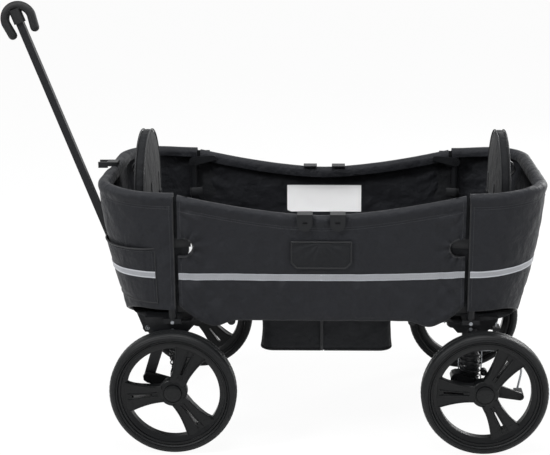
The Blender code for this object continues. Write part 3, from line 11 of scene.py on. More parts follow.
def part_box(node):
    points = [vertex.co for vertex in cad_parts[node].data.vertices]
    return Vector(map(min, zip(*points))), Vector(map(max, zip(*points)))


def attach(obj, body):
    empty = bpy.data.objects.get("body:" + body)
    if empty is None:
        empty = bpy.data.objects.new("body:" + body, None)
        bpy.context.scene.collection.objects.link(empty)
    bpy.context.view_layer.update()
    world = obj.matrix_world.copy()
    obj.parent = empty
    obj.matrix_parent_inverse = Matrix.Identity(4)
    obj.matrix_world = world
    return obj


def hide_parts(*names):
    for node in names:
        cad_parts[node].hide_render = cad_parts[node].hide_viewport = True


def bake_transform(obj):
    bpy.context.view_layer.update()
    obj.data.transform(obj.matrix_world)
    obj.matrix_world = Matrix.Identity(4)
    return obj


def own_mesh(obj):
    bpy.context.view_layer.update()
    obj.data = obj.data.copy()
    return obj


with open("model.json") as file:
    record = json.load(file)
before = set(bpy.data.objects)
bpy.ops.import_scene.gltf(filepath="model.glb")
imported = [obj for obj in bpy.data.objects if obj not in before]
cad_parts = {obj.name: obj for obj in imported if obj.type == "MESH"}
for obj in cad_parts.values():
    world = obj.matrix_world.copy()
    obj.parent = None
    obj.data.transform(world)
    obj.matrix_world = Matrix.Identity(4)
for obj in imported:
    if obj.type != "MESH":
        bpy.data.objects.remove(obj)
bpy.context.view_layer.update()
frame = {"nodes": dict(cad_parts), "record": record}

bl_info = {
    "name": "Folding wagon looks",
    "version": (1, 0, 0),
    "blender": (4, 5, 0),
    "location": "View3D > Sidebar > Wagon",
    "description": "Fabric, padding, wheels and finishes of a folding child wagon around its fixed frame",
    "category": "Object",
}

# The wagon's own places, in metres from its fold line, its middle and the ground. Front is -1, rear 1,
# the wagon's left -1, its right 1.
FRONT, REAR, LEFT, RIGHT = -1, 1, -1, 1
END_NAMES = {FRONT: "front", REAR: "rear"}
SIDE_NAMES = {LEFT: "left", RIGHT: "right"}
FOLD_X = (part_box("front_post_left")[0].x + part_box("rear_post_left")[1].x) / 2
POST_X = 0.338
PANEL_END_X = 0.320
WRAP_EDGE_X = 0.3285
WALL_Y = 0.2635
WALL = 0.005
RAIL_RADIUS = 0.008
SLEEVE_WIDTH = 0.0240
SLEEVE_LIP = 0.020
SLEEVE_ARC = 0.012
END_X = 0.5105
CORNER_RADIUS = 0.130
NOTCH_X, NOTCH_Z, NOTCH_RADIUS = 0.306, 0.484, 0.020
BAND_Z = 0.4146
CLIP_X = 0.0365
RAIL_FOLD_Z, FOLDED_SHARE, BAG_FOLDED_SHARE = 0.5545, 0.57, 0.35
FLOOR_LINING_Z, SEAT_LINING_Z = 0.3044, 0.3085
POST_BOLT_RADIUS = 0.0030
POUCH_HALF, POUCH_TOP_Z, POUCH_LOW_Z = 0.0665, 0.4975, 0.4370
WHEEL_RADIUS, WHEEL_Y, TYRE_HALF = 0.145, 0.276, 0.024
AXLE_X = {FRONT: -0.338, REAR: 0.372}
SPOKE_TURN = {FRONT: 186.0, REAR: 178.0}
SEAT_TOP_Z = 0.368
BACKREST_X, BACKREST_HALF, BACKREST_RADIUS = 0.421, 0.014, 0.1425
BACKREST_LOW_Z, BACKREST_TOP_Z = 0.3683, 0.700
FOOTWELL_X, FOOTWELL_HALF_X, FOOTWELL_HALF_Y = 0.010, 0.152, 0.200
FOOTWELL_TOP_Z, FOOTWELL_LOW_Z = 0.3227, 0.216
HANDLE_PIVOT = (-0.432, 0.208)
HANDLE_LEAN = math.radians(20.3)
HANDLE_LENGTH, GRIP_RADIUS, GRIP_BEND = 0.802, 0.0105, 0.032
TAU = 2 * math.pi


def at(x, y, z):
    """Turn the wagon's own place into the frame's."""
    return Vector((x + FOLD_X, y, z))


def spread(first, last, steps):
    """Evenly spaced numbers from first to last."""
    return [first + (last - first) * k / steps for k in range(steps + 1)]


def degrees(first, last, step):
    """Angles in radians, given in whole degrees from first to last."""
    return [math.radians(a) for a in range(first, last + 1, step)]


def length_property(name, text, default, least=0.0, most=1.0):
    """A size in metres that a user may change."""
    return FloatProperty(
        name=name, description=text, default=default, min=least, max=most, unit="LENGTH", precision=4
    )


def linear(code):
    """Turn an sRGB hex colour such as #26282a into Blender's linear colour."""
    parts = [int(code[i:i + 2], 16) / 255 for i in (1, 3, 5)]
    return tuple(p / 12.92 if p <= 0.04045 else ((p + 0.055) / 1.055) ** 2.4 for p in parts)


def colour_property(name, text, code):
    """A colour that a user may change, given as sRGB hex."""
    return FloatVectorProperty(
        name=name, description=text, default=linear(code), min=0, max=1, subtype="COLOR"
    )


class WagonSizes(bpy.types.PropertyGroup):
    sleeve_swell: length_property("Sleeve swell", "How far the padded rim stands out from the wall", 0.0035)
    wrinkle_depth: length_property("Wrinkle depth", "Depth of the folds in the side panels", 0.0095)
    wrap_wrinkle_depth: length_property("Wrap wrinkle depth", "Depth of the folds in the end wraps", 0.0065)
    seam_drop: length_property("Seam drop", "Distance of the sleeve's seam below the rim", 0.0270)
    band_width: length_property("Band width", "Height of the reflective band", 0.0148)
    band_lift: length_property("Band lift", "How far the band lies on the cloth", 0.0007)
    piping_radius: length_property("Piping radius", "Radius of the corded edges", 0.0016)
    strap_width: length_property("Strap width", "Width of the webbing round the posts", 0.0220)
    thread_spacing: length_property(
        "Thread spacing", "Distance between the drawn threads of the cloth", 0.0016
    )
    stitch_length: length_property("Stitch length", "Length of one stitch", 0.0032)
    stitch_pitch: length_property("Stitch pitch", "Distance from stitch to stitch", 0.0048)
    stitch_radius: length_property("Stitch radius", "Radius of the sewing thread", 0.0004)
    cushion_swell: length_property(
        "Cushion swell", "Most that a pad's filling may push its cover out", 0.0070
    )
    voxel: length_property("Pad cell", "Cell size that the pads are remeshed at", 0.0050, 0.002, 0.02)
    tread_pitch: length_property("Tread pitch", "Distance between tread grooves round the tyre", 0.0114)
    coil_wire: length_property("Coil wire", "Radius of the suspension coils' wire", 0.0016)
    coil_turns: IntProperty(
        name="Coil turns", description="Turns of each suspension coil", default=7, min=3, max=12
    )


class WagonColours(bpy.types.PropertyGroup):
    cloth: colour_property("Cloth", "Side panels and end wraps", "#16171a")
    lining: colour_property("Lining", "Inner faces and the footwell bag", "#151618")
    padding: colour_property("Padding", "Covers of the seats and backrests", "#0d0e10")
    webbing: colour_property("Webbing", "Straps and edge tape", "#101113")
    band: colour_property("Band", "Grey reflective band", "#797b7f")
    patch: colour_property("Patch", "Blank sewn-in patch", "#fbfbfc")
    tube: colour_property("Tube", "Powder coat of the frame", "#121315")
    plastic: colour_property("Plastic", "Moulded parts", "#111214")
    wheel: colour_property("Wheel", "Moulded wheels", "#0b0c0d")
    tyre: colour_property("Tyre", "Foam rubber tyres", "#0e0f10")
    steel: colour_property("Steel", "Zinc plated bolts and studs", "#85888c")
    cable: colour_property("Cable", "Grey brake cable", "#8b8e92")
    floor: colour_property("Floor", "Studio floor", "#f4f4f4")


def sizes():
    """The sizes in the scene."""
    return bpy.context.scene.wagon_sizes


def colours():
    """The colours in the scene."""
    return bpy.context.scene.wagon_colours


# Shapes of the cloth walls, as the frame's source has them.
def ease(t):
    """Go from 0 to 1 with level ends."""
    t = min(max(t, 0.0), 1.0)
    return t * t * (3 - 2 * t)


def hump(distance, width, power=2):
    """A smooth hump, 1 at its middle. A higher power gives it a flatter top and steeper sides."""
    return math.exp(-(distance / width) ** power)


def rim_z(x):
    """Height of a side panel's top edge, which sags between the posts."""
    return RAIL_FOLD_Z + 0.0495 * (abs(x) / POST_X) ** 1.6


def hem_z(x):
    """Height of a side panel's hem."""
    if abs(x) < 0.2432:
        return 0.314 - 0.014 * ease((abs(x) - 0.192) / 0.0512)
    return 0.300 + 0.050 * ((abs(x) - 0.2432) / 0.0768) ** 1.5


def band_z(x):
    """Middle of the reflective band, a little higher towards the rear."""
    return BAND_Z + (0.0098 * (x / 0.33) ** 2.2 if x > 0 else 0.0022 * (x / 0.32) ** 2)


def wrap_inset(z):
    """How far an end wall leans in below its rim."""
    return 0.062 * (max(0.613 - z, 0.0) / 0.340) ** 1.35


def wrap_rim_z(share):
    """Height of an end wall's top edge; the share is 0 at a post and 1 at the middle of the end."""
    return 0.604 + 0.009 * ease(share / 0.5)


def wrap_hem_z(share):
    """Height of an end wall's hem."""
    return 0.338 - 0.082 * ease((share - 0.2) / 0.8)


def wrap_place(end, along, z, inward=0.0):
    """A point of an end wall. Along is 0 at the left post, 0.5 at the end's middle, 1 at the right post."""
    end_x = END_X - wrap_inset(z)
    corner_x, corner_y = end_x - CORNER_RADIUS, WALL_Y - CORNER_RADIUS
    straight, arc = corner_x - WRAP_EDGE_X, CORNER_RADIUS * math.pi / 2
    half = straight + arc + corner_y
    share = 1 - abs(2 * along - 1)
    run = share * half
    radius = CORNER_RADIUS - inward
    if run < straight:
        x, y = WRAP_EDGE_X + run, WALL_Y - inward
    elif run < straight + arc:
        t = (run - straight) / CORNER_RADIUS
        x, y = corner_x + radius * math.sin(t), corner_y + radius * math.cos(t)
    else:
        x, y = end_x - inward, half - run
    if end == FRONT and abs(y) < 0.019 and z < 0.560:
        x -= 0.0125 * min((0.560 - z) / 0.2, 1.0)
    return at(end * x, math.copysign(y, along - 0.5), z)


def wrap_share(along):
    """How far a place along an end wall is from its post, from 0 to 1."""
    return 1 - abs(2 * along - 1)


def folds(x, z, seed, fine=1.0):
    """Creases of hanging cloth between -1 and 1: long uprights crossed by softer slanting ones."""
    upright = noise.noise(Vector((x * 30 * fine, z * 4.0, seed)))
    slant = noise.noise(Vector(((x + 0.7 * z) * 26 * fine, (z - 0.5 * x) * 7, seed + 7.3)))
    other = noise.noise(Vector(((x - 0.8 * z) * 21 * fine, (z + 0.6 * x) * 6, seed + 3.1)))
    small = noise.noise(Vector((x * 75, z * 60, seed + 1.7)))
    crease = 1 - 2 * min(abs(slant) * 2.2, 1.0)
    return 0.9 * upright + 0.35 * crease + 0.6 * other + 0.22 * small


def star(x, z, cx, cz, reach, spokes, seed):
    """Creases that run out from one point of the cloth, where it is pulled."""
    dx, dz = x - cx, z - cz
    far = math.hypot(dx, dz)
    if far > reach or far < 1e-6:
        return 0.0
    turn = math.atan2(dz, dx)
    wave = math.cos(spokes * turn + seed + 2.0 * noise.noise(Vector((turn * 1.5, far * 20, seed))))
    return wave * ease(far / (0.25 * reach)) * (1 - ease((far - 0.3 * reach) / (0.7 * reach)))


def add(tree, kind, values=(), **settings):
    """Add a node to a tree, with its settings, and fill or link its inputs."""
    made = tree.nodes.new(kind)
    for key, value in settings.items():
        setattr(made, key, value)
    for key, value in dict(values).items():
        socket = made.inputs[key]
        if isinstance(value, bpy.types.NodeSocket):
            tree.links.new(value, socket)
        else:
            socket.default_value = value
    return made


def new_material(name, plain):
    """An empty material, with its tree, shader and places. Plain holds the shader's own numbers."""
    look = bpy.data.materials.new(name)
    look.use_nodes = True
    tree = look.node_tree
    tree.nodes.clear()
    shader = add(tree, "ShaderNodeBsdfPrincipled", plain)
    add(tree, "ShaderNodeOutputMaterial", {"Surface": shader.outputs[0]})
    return look, tree, shader, add(tree, "ShaderNodeTexCoord").outputs


def noise_on(tree, vector, scale, detail, **others):
    """Soft noise at a scale, in cells to a metre."""
    made = add(tree, "ShaderNodeTexNoise", {"Vector": vector, "Scale": scale, "Detail": detail, **others})
    return made.outputs[0]


def colour_by(tree, shader, tone):
    """Give a shader its colour."""
    tree.links.new(tone, shader.inputs["Base Color"])


def rough_by(tree, shader, pattern, low, high):
    """Let a pattern vary a shader's roughness between two numbers."""
    rough = add(tree, "ShaderNodeMapRange", {0: pattern, 3: low, 4: high})
    tree.links.new(rough.outputs[0], shader.inputs["Roughness"])


def bump_by(tree, shader, height, strength, distance, **below):
    """Let a height bump a shader's surface, on top of another bump if one is given."""
    bump = add(
        tree, "ShaderNodeBump", {"Height": height, "Strength": strength, "Distance": distance, **below}
    )
    tree.links.new(bump.outputs[0], shader.inputs["Normal"])


def mix_colours(tree, share, first, second):
    """Mix two colours, each a colour or a socket, by a share."""
    mixed = add(tree, "ShaderNodeMix", data_type="RGBA")
    for index, value in ((0, share), (6, first), (7, second)):
        if isinstance(value, bpy.types.NodeSocket):
            tree.links.new(value, mixed.inputs[index])
        else:
            mixed.inputs[index].default_value = value if index == 0 else (*value[:3], 1.0)
    return mixed.outputs[2]


def shaded(colour, factor):
    """A colour made lighter or darker by a factor."""
    return tuple(min(c * factor, 1.0) for c in colour[:3])


def wave_scale(spacing):
    """Scale of a wave texture whose bands are this far apart, in metres."""
    return math.pi / 10 / spacing


def weave_height(tree, vector, spacing, on_map):
    """Plain weave as a height: crossing threads on the cloth's own map, or on three slants of the object."""
    if on_map:
        values = {"Vector": vector, "Scale": wave_scale(spacing)}
        warp, weft = (add(tree, "ShaderNodeTexWave", values, bands_direction=way).outputs[1] for way in "XY")
        return add(tree, "ShaderNodeMath", {0: warp, 1: weft}, operation="MULTIPLY").outputs[0]
    height = None
    for turn in ((0.0, 0.785, 0.785), (0.785, 0.0, -0.785), (-0.785, 0.785, 0.0)):
        turned = add(tree, "ShaderNodeMapping", {"Vector": vector, "Rotation": turn})
        wave = add(tree, "ShaderNodeTexWave", {"Vector": turned.outputs[0], "Scale": wave_scale(spacing)})
        if height is None:
            height = wave.outputs[1]
        else:
            height = add(
                tree, "ShaderNodeMath", {0: height, 1: wave.outputs[1]}, operation="MULTIPLY"
            ).outputs[0]
    return height


def woven(name, colour, spacing, on_map=True, roughness=0.62, sheen=0.04, crumple=0.7):
    """Woven polyester: a fine grain of threads, a soft sheen, and uneven darkness from handling."""
    look, tree, shader, places = new_material(name, {
        "IOR": 1.5, "Sheen Weight": sheen, "Sheen Roughness": 0.45, "Specular IOR Level": 0.10,
    })
    vector = places["UV"] if on_map else places["Object"]
    height = weave_height(tree, vector, spacing, on_map)
    # Dye and rubbing vary over about 120 mm, single thick threads over 6 mm.
    patches = noise_on(tree, places["Object"], 8.0, 3.0)
    slubs = noise_on(tree, vector, 160.0, 2.0)
    base = mix_colours(tree, patches, shaded(colour, 0.84), shaded(colour, 1.16))
    threads = mix_colours(tree, height, base, shaded(colour, 1.35))
    colour_by(tree, shader, mix_colours(tree, 0.25, threads, shaded(colour, 1.1)))
    rough_by(tree, shader, slubs, roughness - 0.08, roughness + 0.08)
    relief = add(tree, "ShaderNodeMath", {0: height, 1: slubs}, operation="ADD")
    # Handling leaves shallow creases 20 to 60 mm apart, finer than the modelled folds.
    crumpled = noise_on(tree, places["Object"], 30.0, 4.0, Roughness=0.5, Distortion=0.15)
    creases = add(tree, "ShaderNodeBump", {"Height": crumpled, "Strength": crumple, "Distance": 0.012})
    bump_by(tree, shader, relief.outputs[0], 0.35, 0.0004, Normal=creases.outputs[0])
    return look


def oxford_cloth():
    """Side panels and end wraps: coated Oxford polyester, charcoal, with a dull sheen."""
    return woven("oxford_polyester_cloth", colours().cloth, sizes().thread_spacing)


def lining_cloth():
    """Footwell bag, pouch and floor linings: the same cloth without its face coating, a little duller."""
    return woven(
        "oxford_polyester_lining", colours().lining, sizes().thread_spacing, roughness=0.72, sheen=0.03
    )


def pad_cloth():
    """Covers of the pads: softer, brushed polyester over wadding."""
    return woven("brushed_polyester_cover", colours().padding, 0.0019, False, 0.74, 0.05, 0.5)


def webbing_tape():
    """Straps and edge tape: ribbed nylon, shinier than the cloth, with ribs across every 1.3 mm."""
    colour = colours().webbing
    look, tree, shader, places = new_material("ribbed_nylon_webbing", {
        "IOR": 1.53, "Sheen Weight": 0.04, "Specular IOR Level": 0.2,
    })
    values = {"Vector": places["Object"], "Scale": wave_scale(0.0013)}
    ribs = add(tree, "ShaderNodeTexWave", values, bands_direction="DIAGONAL").outputs[1]
    dust = noise_on(tree, places["Object"], 60.0, 3.0)
    tone = mix_colours(tree, ribs, shaded(colour, 0.8), shaded(colour, 1.45))
    colour_by(tree, shader, mix_colours(tree, dust, tone, shaded(colour, 1.25)))
    rough_by(tree, shader, dust, 0.5, 0.68)
    bump_by(tree, shader, ribs, 0.5, 0.0004)
    return look


def reflective_tape():
    """Sewn-on reflective band: grey beaded film in a net of cells, with a paler margin along each edge."""
    colour = colours().band
    look, tree, shader, places = new_material("beaded_reflective_tape", {
        "IOR": 1.45, "Metallic": 0.1, "Specular IOR Level": 0.5,
    })
    # Cells of 2.5 mm, drawn coarser than the film's own so that they show.
    values = {"Vector": places["UV"], "Scale": 400.0}
    cells = add(tree, "ShaderNodeTexVoronoi", values, feature="DISTANCE_TO_EDGE")
    net = add(tree, "ShaderNodeMapRange", {0: cells.outputs[0], 1: 0.0, 2: 0.12}).outputs[0]
    across = add(tree, "ShaderNodeSeparateXYZ", {0: places["UV"]})
    half = sizes().band_width / 2
    off = add(tree, "ShaderNodeMath", {0: across.outputs[1], 1: half}, operation="SUBTRACT")
    far = add(tree, "ShaderNodeMath", {0: off.outputs[0]}, operation="ABSOLUTE")
    margin = add(tree, "ShaderNodeMapRange", {0: far.outputs[0], 1: 0.58 * half, 2: 0.74 * half})
    film = mix_colours(tree, net, shaded(colour, 0.82), shaded(colour, 0.95))
    colour_by(tree, shader, mix_colours(tree, margin.outputs[0], film, shaded(colour, 1.55)))
    rough_by(tree, shader, noise_on(tree, places["Object"], 45.0, 4.0), 0.38, 0.6)
    bump_by(tree, shader, net, 0.25, 0.0003)
    return look


def coated_vinyl():
    """Blank sewn-in patch: white film vinyl with nothing on it, slightly yellowed and creased."""
    colour = colours().patch
    look, tree, shader, places = new_material("white_vinyl_film", {"IOR": 1.5, "Roughness": 0.42})
    cloud = noise_on(tree, places["Object"], 18.0, 4.0)
    colour_by(tree, shader, mix_colours(tree, cloud, shaded(colour, 0.93), shaded(colour, 1.03)))
    bump_by(tree, shader, cloud, 0.12, 0.002)
    return look


def grained(name, colour, grain, roughness, worn, bump=0.3, specular=0.5):
    """A moulded or coated surface: fine grain of a real size, soft blotches, and paler rubbed places."""
    look, tree, shader, places = new_material(
        name, {"IOR": 1.5, "Specular IOR Level": specular, "Coat Roughness": 0.2}
    )
    grains = add(tree, "ShaderNodeTexVoronoi", {"Vector": places["Object"], "Scale": 1 / grain})
    blotches = noise_on(tree, places["Object"], 14.0, 5.0)
    rubs = noise_on(tree, places["Object"], 55.0, 6.0, Roughness=0.7)
    rubbed = add(tree, "ShaderNodeMapRange", {0: rubs, 1: 0.56, 2: 0.74})
    base = mix_colours(tree, blotches, shaded(colour, 0.84), shaded(colour, 1.16))
    colour_by(tree, shader, mix_colours(tree, rubbed.outputs[0], base, shaded(colour, worn)))
    rough_by(tree, shader, blotches, roughness - 0.08, roughness + 0.1)
    bump_by(tree, shader, grains.outputs[0], bump, 0.0003)
    return look


def powder_coat():
    """Steel and aluminium tube: black powder coat, orange-peel grain of about 1 mm, half matt."""
    return grained("black_powder_coat", colours().tube, 0.0011, 0.30, 1.5, bump=0.18, specular=0.25)


def moulded_nylon():
    """Feet, brackets, clips and levers: black glass-filled nylon with a spark-eroded grain of 0.7 mm."""
    return grained("moulded_black_nylon", colours().plastic, 0.0007, 0.42, 1.4, bump=0.35, specular=0.16)


def moulded_wheel():
    """Wheels: black polypropylene, smooth from the mould, so that spokes catch soft lights."""
    return grained(
        "moulded_polypropylene_wheel", colours().wheel, 0.0006, 0.30, 1.3, bump=0.12, specular=0.12
    )


def hub_gloss():
    """Hub caps: polished black ABS."""
    return grained("polished_black_abs", colours().wheel, 0.0005, 0.2, 1.2, bump=0.05, specular=0.13)


def foam_tyre():
    """Tyres: foamed EVA rubber, dull, with pores of 0.6 mm and dust in the tread."""
    return grained("foamed_eva_tyre", colours().tyre, 0.0006, 0.45, 1.5, bump=0.4, specular=0.12)


def soft_rubber():
    """Bellows and grip: soft black rubber, dull with a faint bloom."""
    return grained("soft_black_rubber", colours().tyre, 0.0008, 0.6, 1.5, bump=0.3, specular=0.2)


def zinc_plate():
    """Bolts and studs: zinc plated steel, bright with a cloudy bloom and turning marks."""
    look, tree, shader, places = new_material("zinc_plated_steel", {"Metallic": 1.0})
    cloud = noise_on(tree, places["Object"], 220.0, 4.0)
    colour = colours().steel
    colour_by(tree, shader, mix_colours(tree, cloud, shaded(colour, 0.7), shaded(colour, 1.2)))
    rough_by(tree, shader, cloud, 0.22, 0.42)
    bump_by(tree, shader, cloud, 0.15, 0.0002)
    return look


def cable_jacket():
    """Brake cables: grey PVC jacket, smooth and slightly soiled."""
    return grained("grey_pvc_jacket", colours().cable, 0.0006, 0.4, 0.7, bump=0.08)


def sewing_thread():
    """Stitches: twisted polyester thread, a shade lighter than the cloth."""
    return grained("twisted_polyester_thread", shaded(colours().cloth, 1.9), 0.0005, 0.6, 1.3, bump=0.2)


def kept(make):
    """The material that a function makes, made once."""
    name = f"made_{make.__name__}"
    if name not in KEPT:
        KEPT[name] = make()
    return KEPT[name]


KEPT = {}


# Making meshes.
def piece(name, points, faces, make, uvs=None):
    """A new object from points, faces and a material; uvs has a pair for each point."""
    data = bpy.data.meshes.new(name)
    data.from_pydata([tuple(p) for p in points], [], faces)
    data.update()
    if uvs is not None:
        layer = data.uv_layers.new(name="cloth_map")
        index = np.empty(len(data.loops), np.int32)
        data.loops.foreach_get("vertex_index", index)
        layer.data.foreach_set("uv", np.array(uvs, np.float32)[index].ravel())
    thing = bpy.data.objects.new(name, data)
    bpy.context.scene.collection.objects.link(thing)
    thing.data.materials.append(kept(make))
    smooth(thing)
    return thing


def smooth(thing, angle=42.0):
    """Shade an object smooth, but sharp where its faces turn by more than an angle."""
    thing.data.shade_smooth()
    thing.data.set_sharp_from_angle(angle=math.radians(angle))


def face_out(thing):
    """Turn every face of a closed mesh outwards and merge its doubles."""
    shape = bmesh.new()
    shape.from_mesh(thing.data)
    bmesh.ops.remove_doubles(shape, verts=shape.verts[:], dist=0.000005)
    bmesh.ops.recalc_face_normals(shape, faces=shape.faces[:])
    shape.to_mesh(thing.data)
    shape.free()
    smooth(thing)
    return thing


def swept(name, rows, make, closed=False, uvs=None):
    """A closed skin through rows of points, each row a ring; the ends are filled unless the rows close up."""
    count = len(rows[0])
    points = [p for row in rows for p in row]
    pairs = None if uvs is None else [pair for row in uvs for pair in row]
    faces = []
    last = len(rows) if closed else len(rows) - 1
    for i in range(last):
        j = (i + 1) % len(rows)
        for k in range(count):
            m = (k + 1) % count
            faces.append((i * count + k, i * count + m, j * count + m, j * count + k))
    if not closed:
        faces.append(tuple(range(count - 1, -1, -1)))
        faces.append(tuple((len(rows) - 1) * count + k for k in range(count)))
    return face_out(piece(name, points, faces, make, pairs))


def frames_along(path, closed=False):
    """Places along a path with two directions across it that don't twist."""
    path = [Vector(p) for p in path]
    count = len(path)
    first = (path[1] - path[0]).normalized()
    across = first.orthogonal().normalized()
    found = []
    for i, place in enumerate(path):
        before = path[(i - 1) % count] if closed or i else path[0]
        after = path[(i + 1) % count] if closed or i < count - 1 else path[-1]
        along = (after - before).normalized()
        across = (across - along * across.dot(along)).normalized()
        found.append((place, across, along.cross(across)))
    return found


def tube(name, path, radius, make, sides=10, closed=False):
    """A round tube along a path. The radius is a number, or one for each point of the path."""
    rows = []
    for i, (place, first, second) in enumerate(frames_along(path, closed)):
        size = radius if isinstance(radius, (int, float)) else radius[i]
        turns = [TAU * k / sides for k in range(sides)]
        rows.append([place + first * (size * math.cos(t)) + second * (size * math.sin(t)) for t in turns])
    return swept(name, rows, make, closed)


def rounded(corners, radius, steps=6, closed=False):
    """A path through corners with each one rounded off."""
    corners = [Vector(c) for c in corners]
    path = [] if closed else [corners[0]]
    count = len(corners)
    for i in range(count) if closed else range(1, count - 1):
        before, here, after = corners[i - 1], corners[i], corners[(i + 1) % count]
        into, out = (before - here).normalized(), (after - here).normalized()
        half = max(min(into.angle(out) / 2, math.pi / 2 - 0.001), 0.05)
        cut = min(radius / math.tan(half), 0.45 * (before - here).length, 0.45 * (after - here).length)
        for k in range(steps + 1):
            t = k / steps
            a, b = here + into * cut, here + out * cut
            path.append(a * (1 - t) ** 2 + here * (2 * t * (1 - t)) + b * t ** 2)
    if not closed:
        path.append(corners[-1])
    return path


def turned(profile, centre, steps, make, name):
    """A ring turned about the y axis through a centre, from (radius, y) pairs that go round its section."""
    rows = []
    for i in range(steps):
        t = TAU * i / steps
        rows.append([centre + Vector((r * math.cos(t), y, r * math.sin(t))) for r, y in profile])
    return swept(name, rows, make, True)


def dense_outline(outline, pitch=0.012):
    """A closed flat outline with more points, so that none is much farther than the pitch from the next."""
    dense = []
    for (ax, ay), (bx, by) in zip(outline, outline[1:] + outline[:1]):
        steps = max(int(math.hypot(bx - ax, by - ay) / pitch), 1)
        dense += [(ax + (bx - ax) * k / steps, ay + (by - ay) * k / steps) for k in range(steps)]
    return dense


def block(name, low, high, make, bevel=0.001):
    """A box with rounded edges between two corners."""
    shape = bmesh.new()
    bmesh.ops.create_cube(shape, size=1.0)
    low, high = Vector(low), Vector(high)
    for v in shape.verts:
        v.co = Vector((low[k] if v.co[k] < 0 else high[k]) for k in range(3))
    bmesh.ops.bevel(shape, geom=shape.edges[:], offset=bevel, segments=2, affect="EDGES", profile=0.5)
    data = bpy.data.meshes.new(name)
    shape.to_mesh(data)
    shape.free()
    thing = bpy.data.objects.new(name, data)
    bpy.context.scene.collection.objects.link(thing)
    data.materials.append(kept(make))
    return face_out(thing)


def apply_all(thing):
    """Replace an object's mesh by its finished form, and take its modifiers off."""
    bpy.context.view_layer.update()
    graph = bpy.context.evaluated_depsgraph_get()
    data = bpy.data.meshes.new_from_object(thing.evaluated_get(graph), depsgraph=graph)
    thing.modifiers.clear()
    old = thing.data
    thing.data = data
    bpy.data.meshes.remove(old)
    return thing


def cut(thing, cutters):
    """Take cutters out of an object, exactly, and remove them."""
    for number, cutter in enumerate(cutters):
        step = thing.modifiers.new(f"cut_{number}", "BOOLEAN")
        step.operation, step.solver, step.object = "DIFFERENCE", "EXACT", cutter
    apply_all(thing)
    for cutter in cutters:
        bpy.data.objects.remove(cutter)
    smooth(thing)
    return thing


def joined(name, things):
    """Join objects into one mesh with that name."""
    shape = bmesh.new()
    looks = []
    for thing in things:
        data = thing.data
        before = len(shape.faces)
        shape.from_mesh(data)
        shape.faces.ensure_lookup_table()
        offset = {}
        for index, look in enumerate(data.materials):
            if look not in looks:
                looks.append(look)
            offset[index] = looks.index(look)
        for face in shape.faces[before:]:
            face.material_index = offset.get(face.material_index, 0)
    data = bpy.data.meshes.new(name)
    shape.to_mesh(data)
    shape.free()
    for look in looks:
        data.materials.append(look)
    for thing in things:
        bpy.data.objects.remove(thing)
    made = bpy.data.objects.new(name, data)
    bpy.context.scene.collection.objects.link(made)
    smooth(made)
    return made


def settle(thing, body, replaces=()):
    """Say which body a piece rides on and which solids it stands for, and hide those."""
    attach(thing, body)
    if replaces:
        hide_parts(*replaces)
    return thing


# Repeats made with Geometry Nodes.
def grown(name, points, tree_name, build, values, looks):
    """Run a node tree on a path of points and keep the result as a plain mesh."""
    data = bpy.data.meshes.new(name)
    data.from_pydata([tuple(p) for p in points], [(i, i + 1) for i in range(len(points) - 1)], [])
    thing = bpy.data.objects.new(name, data)
    bpy.context.scene.collection.objects.link(thing)
    tree = bpy.data.node_groups.get(tree_name) or build(tree_name)
    step = thing.modifiers.new(tree_name, "NODES")
    step.node_group = tree
    named = {item.name: item.identifier for item in tree.interface.items_tree if item.in_out == "INPUT"}
    for key, value in values.items():
        step[named[key]] = value
    step[named["Material"]] = kept(looks)
    apply_all(thing)
    smooth(thing)
    return thing


def new_tree(name, inputs):
    """A geometry tree with a geometry input and output, named inputs and a material."""
    tree = bpy.data.node_groups.new(name, "GeometryNodeTree")
    tree.interface.new_socket("Geometry", in_out="INPUT", socket_type="NodeSocketGeometry")
    for key, (kind, value) in inputs.items():
        socket = tree.interface.new_socket(key, in_out="INPUT", socket_type=kind)
        socket.default_value = value
    tree.interface.new_socket("Material", in_out="INPUT", socket_type="NodeSocketMaterial")
    tree.interface.new_socket("Geometry", in_out="OUTPUT", socket_type="NodeSocketGeometry")
    return tree, add(tree, "NodeGroupInput").outputs


def end_tree(tree, geometry, entry):
    """End a tree in real geometry with its material."""
    real = add(tree, "GeometryNodeRealizeInstances", {0: geometry})
    finished = add(
        tree, "GeometryNodeSetMaterial", {"Geometry": real.outputs[0], "Material": entry["Material"]}
    )
    add(tree, "NodeGroupOutput", {0: finished.outputs[0]})
    return tree


def carried_to_first(tree, geometry, entry):
    """Carry geometry to the first point that the tree is given."""
    spot = add(tree, "GeometryNodeInputPosition").outputs[0]
    values = {"Geometry": entry["Geometry"], "Value": spot, "Index": 0}
    first = add(tree, "GeometryNodeSampleIndex", values, data_type="FLOAT_VECTOR")
    moved = {"Geometry": geometry, "Translation": first.outputs[0]}
    return add(tree, "GeometryNodeTransform", moved).outputs[0]


def stitch_tree(name):
    """Short threads one after another along a line, each a small five-sided rod."""
    tree, entry = new_tree(name, {
        "Pitch": ("NodeSocketFloat", 0.005), "Length": ("NodeSocketFloat", 0.003),
        "Radius": ("NodeSocketFloat", 0.0004),
    })
    line = add(tree, "GeometryNodeMeshToCurve", {0: entry["Geometry"]})
    spots = add(
        tree, "GeometryNodeCurveToPoints", {"Curve": line.outputs[0], "Length": entry["Pitch"]},
        mode="LENGTH",
    )
    rod = add(
        tree, "GeometryNodeMeshCylinder",
        {"Vertices": 5, "Radius": entry["Radius"], "Depth": entry["Length"]},
    )
    turn = add(tree, "FunctionNodeAlignRotationToVector", {"Vector": spots.outputs["Tangent"]}, axis="Z")
    placed = add(tree, "GeometryNodeInstanceOnPoints", {
        "Points": spots.outputs["Points"], "Instance": rod.outputs["Mesh"], "Rotation": turn.outputs[0],
    })
    return end_tree(tree, placed.outputs[0], entry)


